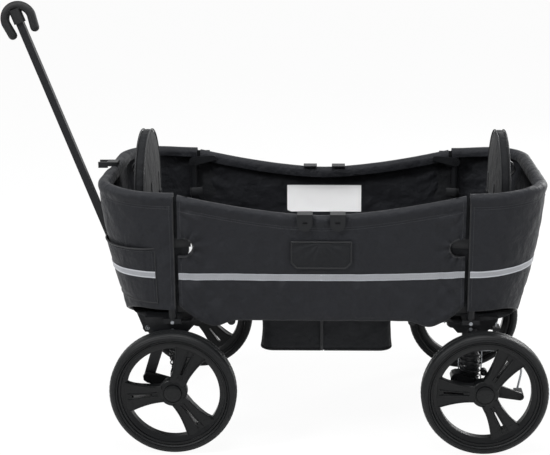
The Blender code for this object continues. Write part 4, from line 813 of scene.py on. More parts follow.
def stitches(name, points):
    """A row of stitches along a path."""
    own = sizes()
    values = {"Pitch": own.stitch_pitch, "Length": own.stitch_length, "Radius": own.stitch_radius}
    return grown(name, points, "stitch_row", stitch_tree, values, sewing_thread)


def bolt_tree(name):
    """A domed hexagon head on a washer at each point, its axis along Y."""
    tree, entry = new_tree(name, {"Radius": ("NodeSocketFloat", 0.005), "Height": ("NodeSocketFloat", 0.003)})
    dots = add(tree, "GeometryNodeMeshToPoints", {0: entry["Geometry"]})
    head = add(
        tree, "GeometryNodeMeshCylinder",
        {"Vertices": 6, "Radius": entry["Radius"], "Depth": entry["Height"]},
    )
    parts = [head]
    # The washer is wide and thin, the stud's tip narrow and long.
    for sides, share, depth in ((20, 1.35, 0.35), (10, 0.5, 1.5)):
        wide = add(tree, "ShaderNodeMath", {0: entry["Radius"], 1: share}, operation="MULTIPLY")
        deep = add(tree, "ShaderNodeMath", {0: entry["Height"], 1: depth}, operation="MULTIPLY")
        parts.append(add(tree, "GeometryNodeMeshCylinder", {
            "Vertices": sides, "Radius": wide.outputs[0], "Depth": deep.outputs[0],
        }))
    both = add(tree, "GeometryNodeJoinGeometry")
    for part in parts:
        tree.links.new(part.outputs["Mesh"], both.inputs[0])
    along_y = (math.pi / 2, 0, 0)
    turned_over = add(tree, "GeometryNodeTransform", {"Geometry": both.outputs[0], "Rotation": along_y})
    placed = add(
        tree, "GeometryNodeInstanceOnPoints",
        {"Points": dots.outputs[0], "Instance": turned_over.outputs[0]},
    )
    return end_tree(tree, placed.outputs[0], entry)


def bolts(name, points, radius):
    """Bolt heads at points, pointing along Y."""
    values = {"Radius": radius, "Height": 0.0034}
    return grown(name, points, "bolt_heads", bolt_tree, values, zinc_plate)


def tread_tree(name):
    """Low blocks in two staggered rows round a wheel's centre, on the tyre's face."""
    tree, entry = new_tree(name, {
        "Count": ("NodeSocketInt", 80), "Radius": ("NodeSocketFloat", 0.145),
        "Width": ("NodeSocketFloat", 0.011), "Length": ("NodeSocketFloat", 0.008),
        "Offset": ("NodeSocketFloat", 0.010),
    })
    both = add(tree, "GeometryNodeJoinGeometry")
    cube = add(tree, "ShaderNodeCombineXYZ", {0: entry["Length"], 1: entry["Width"], 2: 0.0016})
    tooth = add(tree, "GeometryNodeMeshCube", {"Size": cube.outputs[0]})
    for side in (-1, 1):
        ring = add(tree, "GeometryNodeMeshCircle", {"Vertices": entry["Count"], "Radius": entry["Radius"]})
        # The two rows are staggered by a small turn.
        slant = (math.pi / 2, side * 0.02, 0)
        upright = add(tree, "GeometryNodeTransform", {"Geometry": ring.outputs[0], "Rotation": slant})
        shift = add(tree, "ShaderNodeMath", {0: entry["Offset"], 1: float(side)}, operation="MULTIPLY")
        place = add(tree, "ShaderNodeCombineXYZ", {1: shift.outputs[0]})
        moved = add(
            tree, "GeometryNodeSetPosition", {"Geometry": upright.outputs[0], "Offset": place.outputs[0]}
        )
        here = add(tree, "GeometryNodeInputPosition")
        flat = add(tree, "ShaderNodeVectorMath", {0: here.outputs[0], 1: (1, 0, 1)}, operation="MULTIPLY")
        outwards = {"Vector": flat.outputs[0]}
        turn = add(tree, "FunctionNodeAlignRotationToVector", outwards, axis="Z", pivot_axis="Y")
        placed = add(tree, "GeometryNodeInstanceOnPoints", {
            "Points": moved.outputs[0], "Instance": tooth.outputs[0], "Rotation": turn.outputs[0],
        })
        tree.links.new(placed.outputs[0], both.inputs[0])
    return end_tree(tree, carried_to_first(tree, both.outputs[0], entry), entry)


def coil_tree(name):
    """A spring: wire swept along a helix, standing at the first point."""
    tree, entry = new_tree(name, {
        "Turns": ("NodeSocketFloat", 7.0), "Coil radius": ("NodeSocketFloat", 0.02),
        "Height": ("NodeSocketFloat", 0.09), "Wire": ("NodeSocketFloat", 0.0016),
    })
    helix = add(tree, "GeometryNodeCurveSpiral", {
        "Resolution": 20, "Rotations": entry["Turns"], "Start Radius": entry["Coil radius"],
        "End Radius": entry["Coil radius"], "Height": entry["Height"],
    })
    wire = add(tree, "GeometryNodeCurvePrimitiveCircle", {"Resolution": 8, "Radius": entry["Wire"]})
    swept_wire = add(tree, "GeometryNodeCurveToMesh", {
        "Curve": helix.outputs[0], "Profile Curve": wire.outputs[0], "Fill Caps": True,
    })
    return end_tree(tree, carried_to_first(tree, swept_wire.outputs[0], entry), entry)


# Cloth walls.
def panel_relief(end, side, x, z):
    """How far a side panel's outer face stands out at a place: folds, the puffed sleeve and its seam."""
    own = sizes()
    top, hem = rim_z(x), hem_z(x)
    down = top - z
    seed = 11.0 + 5.0 * side
    below_band = ease((BAND_Z - z) / 0.03)
    near_post = ease((abs(x) - 0.20) / 0.10)
    calm = 1 - 0.75 * (1 - ease((abs(x) - 0.05) / 0.04)) * (0.45 + 0.55 * ease((z - 0.40) / 0.03))
    depth = own.wrinkle_depth * (0.45 + 0.45 * below_band + 0.55 * near_post) * calm
    relief = depth * (0.55 + 0.50 * folds(x, z, seed) + 0.30 * folds(x, z, seed + 30, 2.2))
    pull = star(x, z, end * NOTCH_X, NOTCH_Z, 0.075, 9, seed)
    pull += 0.8 * star(x, z, end * PANEL_END_X, top - 0.03, 0.10, 7, seed + 2)
    pull += 0.5 * star(x, z, end * CLIP_X, 0.525, 0.034, 8, seed + 4)
    relief += 0.30 * own.wrinkle_depth * pull
    puff = hump(down - 0.010, 0.013)
    ripple = 1 + 0.25 * noise.noise(Vector((x * 45, seed, 0)))
    relief = relief * ease(down / 0.05) + own.sleeve_swell * puff * ripple
    relief -= 0.0012 * hump(down - own.seam_drop, 0.0035)
    gather = 0.0014 * hump(down - own.seam_drop, 0.012) * noise.noise(Vector((x * 110, z * 15, seed)))
    relief = (relief + gather) * (1 - 0.35 * hump(z - band_z(x), 0.012, 4))
    # The cloth lies flat under the rail clips and the pouch.
    clip_press = hump(abs(x) - CLIP_X, 0.021, 6) * hump(z - 0.545, 0.030, 6)
    pouch_press = hump(x, 0.078, 8) * hump(z - 0.467, 0.038, 8)
    limit = 0.0001 if clip_press > 0.3 else 0.0006 if pouch_press > 0.3 else 0.012
    share = max(clip_press, pouch_press)
    relief = relief * (1 - share) + min(relief, limit) * share
    hem_fade = ease((z - hem) / 0.012)
    return max(relief, 0.0) * (0.35 + 0.65 * hem_fade)


def panel_outer(end, side, x, z, lift=0.0):
    """A point on a side panel's outer face, lifted off it a little if asked."""
    return at(x, side * (WALL_Y + panel_relief(end, side, x, z) + lift), z)


def sleeve_section(top, swell, rise, lip):
    """A wall's section over its rail and down the lip: how far in, how high and the place in the weave."""
    shoulder = top - SLEEVE_ARC
    centre, wide = (SLEEVE_WIDTH - swell) / 2, (SLEEVE_WIDTH + swell) / 2
    ring = []
    for k in range(1, 12):
        t = math.pi * k / 12
        ring.append((centre - wide * math.cos(t), shoulder + rise * math.sin(t), shoulder + 0.0031 * k))
    lip_in = WALL + 0.001 + 2 * RAIL_RADIUS
    under = [
        *lip, (lip_in, lip[-1][1]), (lip_in, top - 0.010), (lip_in - 0.005, top - 0.0045),
        (WALL + 0.005, top - 0.0045), (WALL, top - 0.010),
    ]
    return ring + [(inward, z, 2 * top - z) for inward, z in under]


def panel_section(end, side, x):
    """One upright ring of a side panel: outer face, sleeve over the rail, inner lip and inner face."""
    top, hem = rim_z(x), hem_z(x)
    own = sizes()
    shoulder, lip_z = top - SLEEVE_ARC, top - SLEEVE_LIP - 0.004
    ring = [(-panel_relief(end, side, x, z), z, z) for z in spread(hem, shoulder, 58)]
    lip = [(SLEEVE_WIDTH, shoulder), (SLEEVE_WIDTH + 0.0006, top - 0.016), (SLEEVE_WIDTH, lip_z)]
    ring += sleeve_section(top, panel_relief(end, side, x, shoulder), SLEEVE_ARC + 0.001, lip)
    ring.append((WALL, top - 0.024, 2 * top - (top - 0.024)))
    seed = 40.0 + 3.0 * side
    for z in spread(top - 0.030, hem + 0.001, 36):
        down = top - z
        wave = folds(x, z, seed, 0.8) * (0.35 + 0.65 * ease((abs(x) - 0.12) / 0.16))
        lift = 0.5 * own.wrinkle_depth * (0.5 + 0.5 * wave) * ease(
            (down - 0.03) / 0.04
        ) * ease((z - hem) / 0.03)
        lift += 0.4 * own.wrinkle_depth * max(star(x, z, end * PANEL_END_X, top - 0.05, 0.12, 8, seed), 0.0)
        lift *= ease((0.302 - abs(x)) / 0.016)
        near_patch = hump(x, 0.105, 8) * hump(z - 0.470, 0.042, 8) if side == RIGHT else 0.0
        ring.append((WALL + lift * (1 - near_patch), z, 2 * top - z))
    points = [at(x, side * (WALL_Y - inward), z) for inward, z, _ in ring]
    return points, [(x, v) for _, _, v in ring]


def panel_half(end, side):
    """Half of a side panel, from the fold line to a post, with its strap notch."""
    stations = spread(0.0, end * PANEL_END_X, 84)
    rows, maps = zip(*(panel_section(end, side, x) for x in stations))
    name = f"side_panel_{SIDE_NAMES[side]}_{END_NAMES[end]}"
    half = swept(name, list(rows), oxford_cloth, False, list(maps))
    outline = [(PANEL_END_X + 0.01, NOTCH_Z + NOTCH_RADIUS)]
    for k in range(13):
        t = math.pi / 2 + math.pi * k / 12
        outline.append((NOTCH_X + NOTCH_RADIUS * math.cos(t), NOTCH_Z + NOTCH_RADIUS * math.sin(t)))
    outline.append((PANEL_END_X + 0.01, NOTCH_Z - NOTCH_RADIUS))
    sheets = [[at(end * x, side * y, z) for x, z in outline] for y in (WALL_Y - 0.016, WALL_Y + 0.030)]
    cutter = swept("notch_cutter", sheets, oxford_cloth)
    slot_x, slot_z = end * CLIP_X, rim_z(CLIP_X)
    slot_low, slot_high = at(slot_x - 0.0095, 0, slot_z - 0.010), at(slot_x + 0.0095, 0, slot_z + 0.02)
    slot = block("slot_cutter", slot_low, slot_high, oxford_cloth)
    for v in slot.data.vertices:
        v.co.y = side * (WALL_Y - 0.0135) + (0.0062 if v.co.y > 0 else -0.0062)
    return cut(half, [cutter, face_out(slot)])


def edge_tape(name, path, radius=None):
    """Edge tape folded round a cut edge, drawn as a soft cord along it."""
    return tube(name, path, radius or sizes().piping_radius, webbing_tape, 8)


def gathered(thing, body, anchor_z, keep):
    """Let cloth ride on a rail, with a mesh of its own."""
    settle(thing, body)
    at(0, 0, anchor_z)
    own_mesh(thing)


def band_strip(name, spots):
    """A flat band; each spot gives its low edge, middle and high edge, and the way out."""
    rows, maps = [], []
    run = 0.0
    before = None
    width = sizes().band_width
    for low, middle, high, out in spots:
        run += (middle - before).length if before is not None else 0.0
        before = middle
        thick = out * 0.0009
        rows.append([low, middle, high, high + thick, middle + thick, low + thick])
        maps.append([(run, 0.0), (run, width / 2), (run, width), (run, width), (run, width / 2), (run, 0.0)])
    return swept(name, rows, reflective_tape, False, maps)


class WAGON_OT_side_panels(bpy.types.Operator):
    """Make the two side panels in halves, with sleeves, folds, strap notches, bands, tape and stitches"""

    bl_idname = "wagon.side_panels"
    bl_label = "Side panels"

    def execute(self, context):
        own = sizes()
        for side in (LEFT, RIGHT):
            for end in (FRONT, REAR):
                tag = f"{SIDE_NAMES[side]}_{END_NAMES[end]}"
                half = panel_half(end, side)
                body = f"{END_NAMES[end]}_rails"
                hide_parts(f"side_panel_{SIDE_NAMES[side]}")
                gathered(half, body, RAIL_FOLD_Z, FOLDED_SHARE)
                on_it = []
                spots = []
                for x in spread(0.0, end * (PANEL_END_X - 0.0004), 72):
                    z, w = band_z(x), own.band_width / 2
                    parts = [panel_outer(end, side, x, z + dz, own.band_lift * 0.4) for dz in (-w, 0.0, w)]
                    spots.append((*parts, Vector((0, side, 0))))
                on_it.append(band_strip(f"reflective_band_{tag}", spots))
                inward = Vector((0, side * 0.0018, 0))
                hem_x = [end * (0.001 + (PANEL_END_X - 0.002) * k / 60) for k in range(61)]
                hem = [panel_outer(end, side, x, hem_z(x) + 0.0006) - inward for x in hem_x]
                on_it.append(edge_tape(f"hem_tape_{tag}", hem, 0.0022))
                round_notch, edge_x = NOTCH_RADIUS + 0.0012, PANEL_END_X - 0.001
                notch = [(edge_x, NOTCH_Z + round_notch)]
                for k in range(19):
                    t = math.pi / 2 + math.pi * k / 18
                    notch.append((NOTCH_X + round_notch * math.cos(t), NOTCH_Z + round_notch * math.sin(t)))
                notch.append((edge_x, NOTCH_Z - NOTCH_RADIUS - 0.0012))
                places = [panel_outer(end, side, end * x, z, 0.0002) for x, z in notch]
                on_it.append(edge_tape(f"notch_tape_{tag}", places))
                rows = []
                sewn_x = [end * (0.004 + (PANEL_END_X - 0.008) * k / 90) for k in range(91)]
                for drop in (own.seam_drop, own.seam_drop + 0.005):
                    path = [
                        panel_outer(end, side, x, rim_z(x) - drop, own.stitch_radius * 0.5) for x in sewn_x
                    ]
                    rows.append(stitches(f"seam_stitches_{tag}", path))
                for dz in (-own.band_width / 2 + 0.0016, own.band_width / 2 - 0.0016):
                    path = [panel_outer(end, side, x, band_z(x) + dz, own.band_lift + 0.0007) for x in sewn_x]
                    rows.append(stitches(f"band_stitches_{tag}", path))
                # The stitches beside the post leave the notch free.
                free = [
                    z
                    for z in (
                        0.350 + k * 0.0052 for k in range(47)
                    ) if abs(z - NOTCH_Z) > NOTCH_RADIUS + 0.006
                ]
                upright = [panel_outer(end, side, end * (PANEL_END_X - 0.007), z, 0.0003) for z in free]
                for part in ([p for p in upright if p.z < NOTCH_Z], [p for p in upright if p.z > NOTCH_Z]):
                    rows.append(stitches(f"edge_stitches_{tag}", part))
                on_it.append(joined(f"stitches_{tag}", rows))
                for thing in on_it:
                    gathered(thing, body, RAIL_FOLD_Z, FOLDED_SHARE)
        return {"FINISHED"}


def wrap_relief(end, along, z):
    """How far an end wrap's outer face stands out: soft padding, folds and the sleeve over the rim."""
    own = sizes()
    share = wrap_share(along)
    top, hem = wrap_rim_z(share), wrap_hem_z(share)
    down = top - z
    run = 0.63 * along
    seed = 70.0 + 9.0 * end + (2.0 if along > 0.5 else 0.0)
    near_edge = 1 - ease(share / 0.14)
    height = max((z - hem) / (top - hem), 0.0)
    depth = own.wrap_wrinkle_depth * (0.30 + 0.7 * near_edge + 0.35 * (1 - height))
    relief = depth * (0.55 + 0.50 * folds(run, z, seed, 0.8) + 0.30 * folds(run, z, seed + 30, 1.9))
    relief += 0.0035 * math.sin(math.pi * min(height, 1.0)) * ease(share / 0.1)
    ripple = 1 + 0.2 * noise.noise(Vector((run * 40, seed, 0)))
    relief = relief * ease(down / 0.05) + own.sleeve_swell * 1.3 * hump(down - 0.011, 0.014) * ripple
    relief -= 0.0010 * hump(down - own.seam_drop, 0.0035)
    if end == FRONT:
        # It lies flat behind the handle's stem and behind the pocket.
        relief *= 1 - hump(along - 0.5, 0.045, 6)
        if along < 0.40:
            relief *= 1 - 0.85 * (hump(along - 0.20, 0.155, 8) * hump(z - 0.415, 0.075, 8))
    return max(relief, 0.0)


def wrap_outer(end, along, z, lift=0.0):
    """A point on an end wrap's outer face."""
    return wrap_place(end, along, z, -wrap_relief(end, along, z) - lift)


def wrap_section(end, along):
    """One upright ring of an end wrap."""
    share = wrap_share(along)
    top, hem = wrap_rim_z(share), wrap_hem_z(share)
    own = sizes()
    shoulder = top - SLEEVE_ARC
    ring = [(-wrap_relief(end, along, z), z, z) for z in spread(hem, shoulder, 52)]
    lip = [(SLEEVE_WIDTH, shoulder), (SLEEVE_WIDTH, top - SLEEVE_LIP)]
    ring += sleeve_section(top, wrap_relief(end, along, shoulder), SLEEVE_ARC + 0.0015, lip)
    ring.append((WALL, top - 0.026, 2 * top - (top - 0.026)))
    seed = 90.0 + 4.0 * end
    for z in spread(top - 0.032, hem + 0.001, 32):
        fade = ease((top - z - 0.03) / 0.05) * ease((z - hem) / 0.03)
        fade = fade * ease((z - SEAT_TOP_Z - 0.006) / 0.03) * ease(wrap_share(along) / 0.04)
        lift = 0.6 * own.wrap_wrinkle_depth * (0.5 + 0.5 * folds(0.63 * along, z, seed, 0.8)) * fade
        ring.append((WALL + lift, z, 2 * top - z))
    points = [wrap_place(end, along, z, inward) for inward, z, _ in ring]
    return points, [(0.95 * along, v) for _, _, v in ring]


class WAGON_OT_end_wraps(bpy.types.Operator):
    """Make the padded end wraps with their sleeves, folds, bands, tape and stitches"""

    bl_idname = "wagon.end_wraps"
    bl_label = "End wraps"

    def execute(self, context):
        own = sizes()
        for end in (FRONT, REAR):
            tag = END_NAMES[end]
            rows, maps = zip(*(wrap_section(end, a) for a in spread(0.0, 1.0, 168)))
            wrap = swept(f"end_wrap_{tag}", list(rows), oxford_cloth, False, list(maps))
            settle(wrap, f"{tag}_frame", [f"{tag}_end_wrap"])
            on_it = []
            if end == REAR:
                spots = []
                for along in spread(0.004, 0.996, 150):
                    z = 0.4240 + 0.0075 * ease(wrap_share(along) / 0.5)
                    w = own.band_width / 2
                    low, middle, high = (
                        wrap_outer(end, along, z + dz, own.band_lift * 0.4) for dz in (-w, 0.0, w)
                    )
                    out = (wrap_place(end, along, z, -0.01) - wrap_place(end, along, z)).normalized()
                    spots.append((low, middle, high, out))
                on_it.append(band_strip(f"reflective_band_{tag}", spots))
            hem = [
                wrap_place(end, a, wrap_hem_z(wrap_share(a)) + 0.0004, 0.0025)
                for a in spread(0.002, 0.998, 150)
            ]
            on_it.append(edge_tape(f"wrap_hem_tape_{tag}", hem, 0.0032))
            for edge, side in ((0.0012, LEFT), (0.9988, RIGHT)):
                path = [wrap_outer(end, edge, 0.342 + 0.0043 * k, -0.0006) for k in range(58)]
                on_it.append(edge_tape(f"wrap_edge_tape_{tag}_{SIDE_NAMES[side]}", path))
            rows_of = []
            for drop in (own.seam_drop, own.seam_drop + 0.005):
                seam = [
                    wrap_outer(end, a, wrap_rim_z(wrap_share(a)) - drop, 0.0003)
                    for a in spread(0.01, 0.99, 300)
                ]
                rows_of.append(stitches("s", seam))
            for edge in (0.011, 0.989):
                rows_of.append(
                    stitches("s", [wrap_outer(end, edge, 0.350 + 0.0042 * k, 0.0003) for k in range(55)])
                )
            on_it.append(joined(f"wrap_stitches_{tag}", rows_of))
            for thing in on_it:
                settle(thing, f"{tag}_frame")
        return {"FINISHED"}


POCKET_FIRST, POCKET_LAST, POCKET_LOW_Z, POCKET_TOP_Z = 0.058, 0.345, 0.352, 0.4815


def pocket_point(along, height, lift=0.0):
    """A point on the front pocket's face: it bellies out in its middle and gapes a little at its mouth."""
    across = (along - POCKET_FIRST) / (POCKET_LAST - POCKET_FIRST)
    belly = math.sin(math.pi * min(max(across, 0.0), 1.0)) ** 0.6
    rise = min(max(height, 0.0), 1.0)
    gape = 0.0065 * belly * (0.35 + 0.65 * rise) * ease(height / 0.15)
    z = POCKET_LOW_Z + (POCKET_TOP_Z - POCKET_LOW_Z) * height - 0.004 * belly * ease((height - 0.6) / 0.4)
    crease = 0.0012 * folds(along * 0.7, z, 120.0) * ease(height / 0.1)
    return wrap_place(FRONT, along, z, -0.0022 - gape - max(crease, -0.001) - lift)


def shell_piece(name, place, across, up, thick, make):
    """A closed cloth skin from a face place(u, v) and an inner face a little behind it."""
    rows, maps = [], []
    for i in range(across + 1):
        u = i / across
        ring, pairs = [], []
        for k in range(up + 1):
            ring.append(place(u, k / up, 0.0))
            pairs.append((u * 0.3, k / up * 0.15))
        for k in range(up, -1, -1):
            ring.append(place(u, k / up, -thick))
            pairs.append((u * 0.3, 0.3 - k / up * 0.15))
        rows.append(ring)
        maps.append(pairs)
    return swept(name, rows, make, False, maps)


def follow_hinge(thing):
    """Bake the place of cloth that lies across the centre into its mesh."""
    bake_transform(thing)


class WAGON_OT_pockets(bpy.types.Operator):
    """Make the front pocket, the pouch on the left panel and the blank patch inside the right one"""

    bl_idname = "wagon.pockets"
    bl_label = "Pockets and patch"

    def execute(self, context):
        own = sizes()
        span = POCKET_LAST - POCKET_FIRST

        def face(u, v, lift):
            return pocket_point(POCKET_FIRST + span * u, v, lift)

        pocket = shell_piece("front_pocket_cloth", face, 80, 34, 0.0016, oxford_cloth)
        settle(pocket, "front_frame", ["front_pocket"])
        spots = []
        height = (0.4196 - POCKET_LOW_Z) / (POCKET_TOP_Z - POCKET_LOW_Z)
        half = own.band_width / 2 / (POCKET_TOP_Z - POCKET_LOW_Z)
        for k in range(81):
            along = POCKET_FIRST + span * (0.005 + 0.99 * k / 80)
            out = (wrap_place(FRONT, along, 0.42, -0.01) - wrap_place(FRONT, along, 0.42)).normalized()
            spots.append((*(pocket_point(along, height + d, 0.0004) for d in (-half, 0.0, half)), out))
        band = band_strip("reflective_band_pocket", spots)
        alongs = [POCKET_FIRST + span * k / 80 for k in range(81)]
        mouth = edge_tape("pocket_mouth_tape", [pocket_point(a, 1.0, 0.0003) for a in alongs], 0.0020)
        base = edge_tape("pocket_base_tape", [pocket_point(a, 0.0, 0.0) for a in alongs], 0.0013)
        ends = []
        for n, along in enumerate((POCKET_FIRST, POCKET_LAST)):
            upright = [pocket_point(along, k / 30, 0.0003) for k in range(31)]
            ends.append(edge_tape(f"pocket_end_tape_{n}", upright, 0.0013))
        seams = [stitches("s", [pocket_point(a, 0.955, 0.0004) for a in alongs])]
        for along in (POCKET_FIRST + span * 0.03, POCKET_LAST - span * 0.03):
            seams.append(stitches("s", [pocket_point(along, 0.03 + 0.9 * k / 30, 0.0004) for k in range(31)]))
        threads = joined("pocket_stitches", seams)
        on_pocket = [band, mouth, base, *ends, threads]
        for thing in on_pocket:
            settle(thing, "front_frame")

        def flap(u, v, lift):
            x = -POUCH_HALF + 2 * POUCH_HALF * u
            corner = 0.012
            low = POUCH_LOW_Z + max(corner - (POUCH_HALF - abs(x)), 0.0)
            z = low + (POUCH_TOP_Z - low) * v
            swell = 0.0042 * math.sin(math.pi * u) ** 0.5 * math.sin(math.pi * min(v, 0.98)) ** 0.6
            rays = 0.0011 * star(x, z, 0.0, POUCH_TOP_Z, 0.115, 13, 5.0)
            return at(x, -(WALL_Y + 0.0026 + swell + max(rays, -0.0008 if swell > 0.001 else 0.0) + lift), z)

        pouch = shell_piece("pouch_flap", flap, 60, 30, 0.0016, lining_cloth)
        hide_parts("side_pouch")
        outline = [flap(0.0, 1.0 - k / 14, 0.0004) for k in range(15)]
        outline += [flap(k / 40, 0.0, 0.0004) for k in range(1, 41)]
        outline += [flap(1.0, k / 14, 0.0004) for k in range(1, 15)]
        outline += [flap(1.0 - k / 40, 1.0, 0.0004) for k in range(1, 40)]
        rim = tube("pouch_piping", outline, 0.0019, webbing_tape, 8, True)
        threads = stitches("pouch_stitches", [flap(0.035 + 0.93 * k / 50, 0.93, 0.0004) for k in range(51)])
        for thing in (pouch, rim, threads):
            follow_hinge(thing)

        def patch_place(u, v, lift):
            x = -0.0968 + 0.1930 * u
            z = 0.4345 + 0.0712 * v
            wave = 0.0005 * noise.noise(Vector((x * 30, z * 30, 3.0)))
            return at(x, WALL_Y - WALL - 0.0011 - wave - lift, z)

        patch = shell_piece("blank_patch", patch_place, 48, 20, 0.0008, coated_vinyl)
        follow_hinge(patch)
        return {"FINISHED"}


def footwell_ring(z, inset, reach=0.0, wave=0.0):
    """A level ring of the footwell bag, with rounded corners and soft sides."""
    half_x, half_y = FOOTWELL_HALF_X - inset, FOOTWELL_HALF_Y - inset + reach
    corner = min(0.030, 0.8 * half_x, 0.8 * half_y)
    ring = []
    for sx, sy, start in ((1, 1, 0), (-1, 1, 90), (-1, -1, 180), (1, -1, 270)):
        for k in range(9):
            t = math.radians(start + 90 * k / 8)
            ring.append(
                (
                    sx * (half_x - corner) + corner * math.cos(t),
                    sy * (half_y - corner) + corner * math.sin(t),
                )
            )
    dense = []
    for i, (ax, ay) in enumerate(ring):
        bx, by = ring[(i + 1) % len(ring)]
        steps = 1 if i % 9 < 8 else 56 if i // 9 % 2 == 0 else 66
        dense += [(ax + (bx - ax) * k / steps, ay + (by - ay) * k / steps) for k in range(steps)]
    points = []
    for x, y in dense:
        push = wave * (0.5 + 0.5 * folds(x + 0.6 * y, z, 150.0))
        points.append(at(FOOTWELL_X + x * (1 - push / half_x), y * (1 - push / half_y), z))
    return points


class WAGON_OT_footwell(bpy.types.Operator):
    """Make the footwell bag in two halves that hang from the floor rails, with corded edges"""

    bl_idname = "wagon.footwell"
    bl_label = "Footwell"

    def execute(self, context):
        low, top = FOOTWELL_LOW_Z, FOOTWELL_TOP_Z
        hem = WALL_Y - WALL - 0.002 - FOOTWELL_HALF_Y
        rings = [footwell_ring(top, 0.004), footwell_ring(top - 0.012, 0.0042)]
        rings += [
            footwell_ring(low + 0.004 + (top - low - 0.02) * (1 - k / 12), 0.0045, 0.0, 0.0012)
            for k in range(1, 13)
        ]
        rings += [footwell_ring(low + 0.004, inset) for inset in (0.03, 0.06, 0.09, 0.12, 0.1518)]
        under = ((0.0006, 0.1518), (0.0003, 0.12), (0, 0.09), (0, 0.06), (0.0003, 0.03))
        rings += [footwell_ring(low + drop, inset) for drop, inset in under]
        rings += [footwell_ring(low + 0.0008, 0.006), footwell_ring(low + 0.004, 0.0015)]
        rings += [
            footwell_ring(
                low + 0.012 + (top - low - 0.020) * k / 14, 0.0, 0.0, 0.0034 * math.sin(math.pi * k / 15)
            )
            for k in range(15)
        ]
        rings += [footwell_ring(top - 0.004, 0.0, hem), footwell_ring(top, 0.0, hem)]
        count = len(rings[0])
        if any(len(r) != count for r in rings):
            raise RuntimeError("the footwell's rings don't match")
        for end in (FRONT, REAR):
            bag = swept(f"footwell_bag_{END_NAMES[end]}", rings, lining_cloth, True)
            shape = bmesh.new()
            shape.from_mesh(bag.data)
            everything = shape.verts[:] + shape.edges[:] + shape.faces[:]
            bmesh.ops.bisect_plane(
                shape, geom=everything, plane_co=at(end * 0.0003, 0, 0), plane_no=(-end, 0, 0),
                clear_outer=True,
            )
            bmesh.ops.holes_fill(shape, edges=[e for e in shape.edges if e.is_boundary], sides=0)
            bmesh.ops.recalc_face_normals(shape, faces=shape.faces[:])
            shape.to_mesh(bag.data)
            shape.free()
            smooth(bag)
            body = f"{END_NAMES[end]}_floor"
            settle(bag, body, ["footwell"])
            at(0, 0, top)
            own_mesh(bag)
            edge = [p for p in footwell_ring(low + 0.0035, 0.0005) if end * (p.x - FOLD_X) > 0.002]
            turn = max(range(len(edge)), key=lambda i: (edge[i] - edge[i - 1]).length)
            edge = edge[turn:] + edge[:turn]
            cord = tube(f"footwell_piping_{END_NAMES[end]}", edge, 0.0024, webbing_tape, 8)
            gathered(cord, body, top, BAG_FOLDED_SHARE)
            if end == REAR:
                across = [(-FOOTWELL_HALF_Y - hem, top + 0.0002), (-FOOTWELL_HALF_Y - 0.0006, top - 0.002)]
                across += [(-FOOTWELL_HALF_Y - 0.0022, top - 0.02 - 0.006 * k) for k in range(13)]
                across += [(-FOOTWELL_HALF_Y - 0.0004, low + 0.006), (-FOOTWELL_HALF_Y + 0.008, low - 0.0004)]
                path = [at(0, y, z) for y, z in across] + [at(0, -y, z) for y, z in reversed(across)]
                outs = [Vector((0, y + math.copysign(0.02, y), z - 0.30)).normalized() for y, z in across]
                outs += [Vector((0, -o.y, o.z)) for o in reversed(outs)]
                seam = ribbon("footwell_seam_tape", path, outs, 0.007, 0.0010, webbing_tape)
                gathered(seam, body, top, BAG_FOLDED_SHARE)
        return {"FINISHED"}


class WAGON_OT_floor_lining(bpy.types.Operator):
    """Make the cloth floors under the cushions and seats, which close the bottom of the basket"""

    bl_idname = "wagon.floor_lining"
    bl_label = "Floor lining"

    def execute(self, context):
        reach = WALL_Y - WALL - 0.002
        for end in (FRONT, REAR):
            tag = END_NAMES[end]
            # The lining starts under the footwell bag's rim, which lies off the middle.
            first = FOOTWELL_HALF_X + end * FOOTWELL_X + 0.001
            length = 0.335 - first
            rows = []
            for k in range(25):
                x = first + length * k / 24
                spots = [-reach + 2 * reach * n / 60 for n in range(61)]
                # The edge turns up against the side panel.
                lips = [
                    0.018 * ease((abs(y) - reach + 0.012) / 0.012) * (1 - ease((x - 0.285) / 0.015))
                    for y in spots
                ]
                sags = [
                    0.0004 * folds(x, y, 31.0) - 0.0012 * math.cos(math.pi * y / (2 * reach)) for y in spots
                ]
                lower = [at(end * x, y, FLOOR_LINING_Z + sag + lip) for y, sag, lip in zip(spots, sags, lips)]
                rows.append(lower + [p + Vector((0, 0, 0.0012)) for p in reversed(lower)])
            cloth = swept(f"floor_lining_{tag}", rows, lining_cloth)
            settle(cloth, f"{tag}_floor")
            # The front lining stops short of the handle's stem.
            first, last = 0.3492, 0.446 if end == FRONT else 0.451
            rows = []
            for k in range(21):
                x = first + (last - first) * k / 20
                inside = max(x - (last - 0.110), 0.0)
                half = 0.2500 - 0.110 + math.sqrt(max(0.110 ** 2 - inside ** 2, 0.0))
                spots = [-half + 2 * half * n / 60 for n in range(61)]
                lower = []
                for y in spots:
                    sag = 0.0010 * math.cos(math.pi * y / (2 * half))
                    lower.append(at(end * x, y, SEAT_LINING_Z - sag + 0.0004 * folds(x, y, 37.0)))
                rows.append(lower + [p + Vector((0, 0, 0.0012)) for p in reversed(lower)])
            cloth = swept(f"seat_lining_{tag}", rows, lining_cloth)
            settle(cloth, f"{tag}_frame")
        return {"FINISHED"}


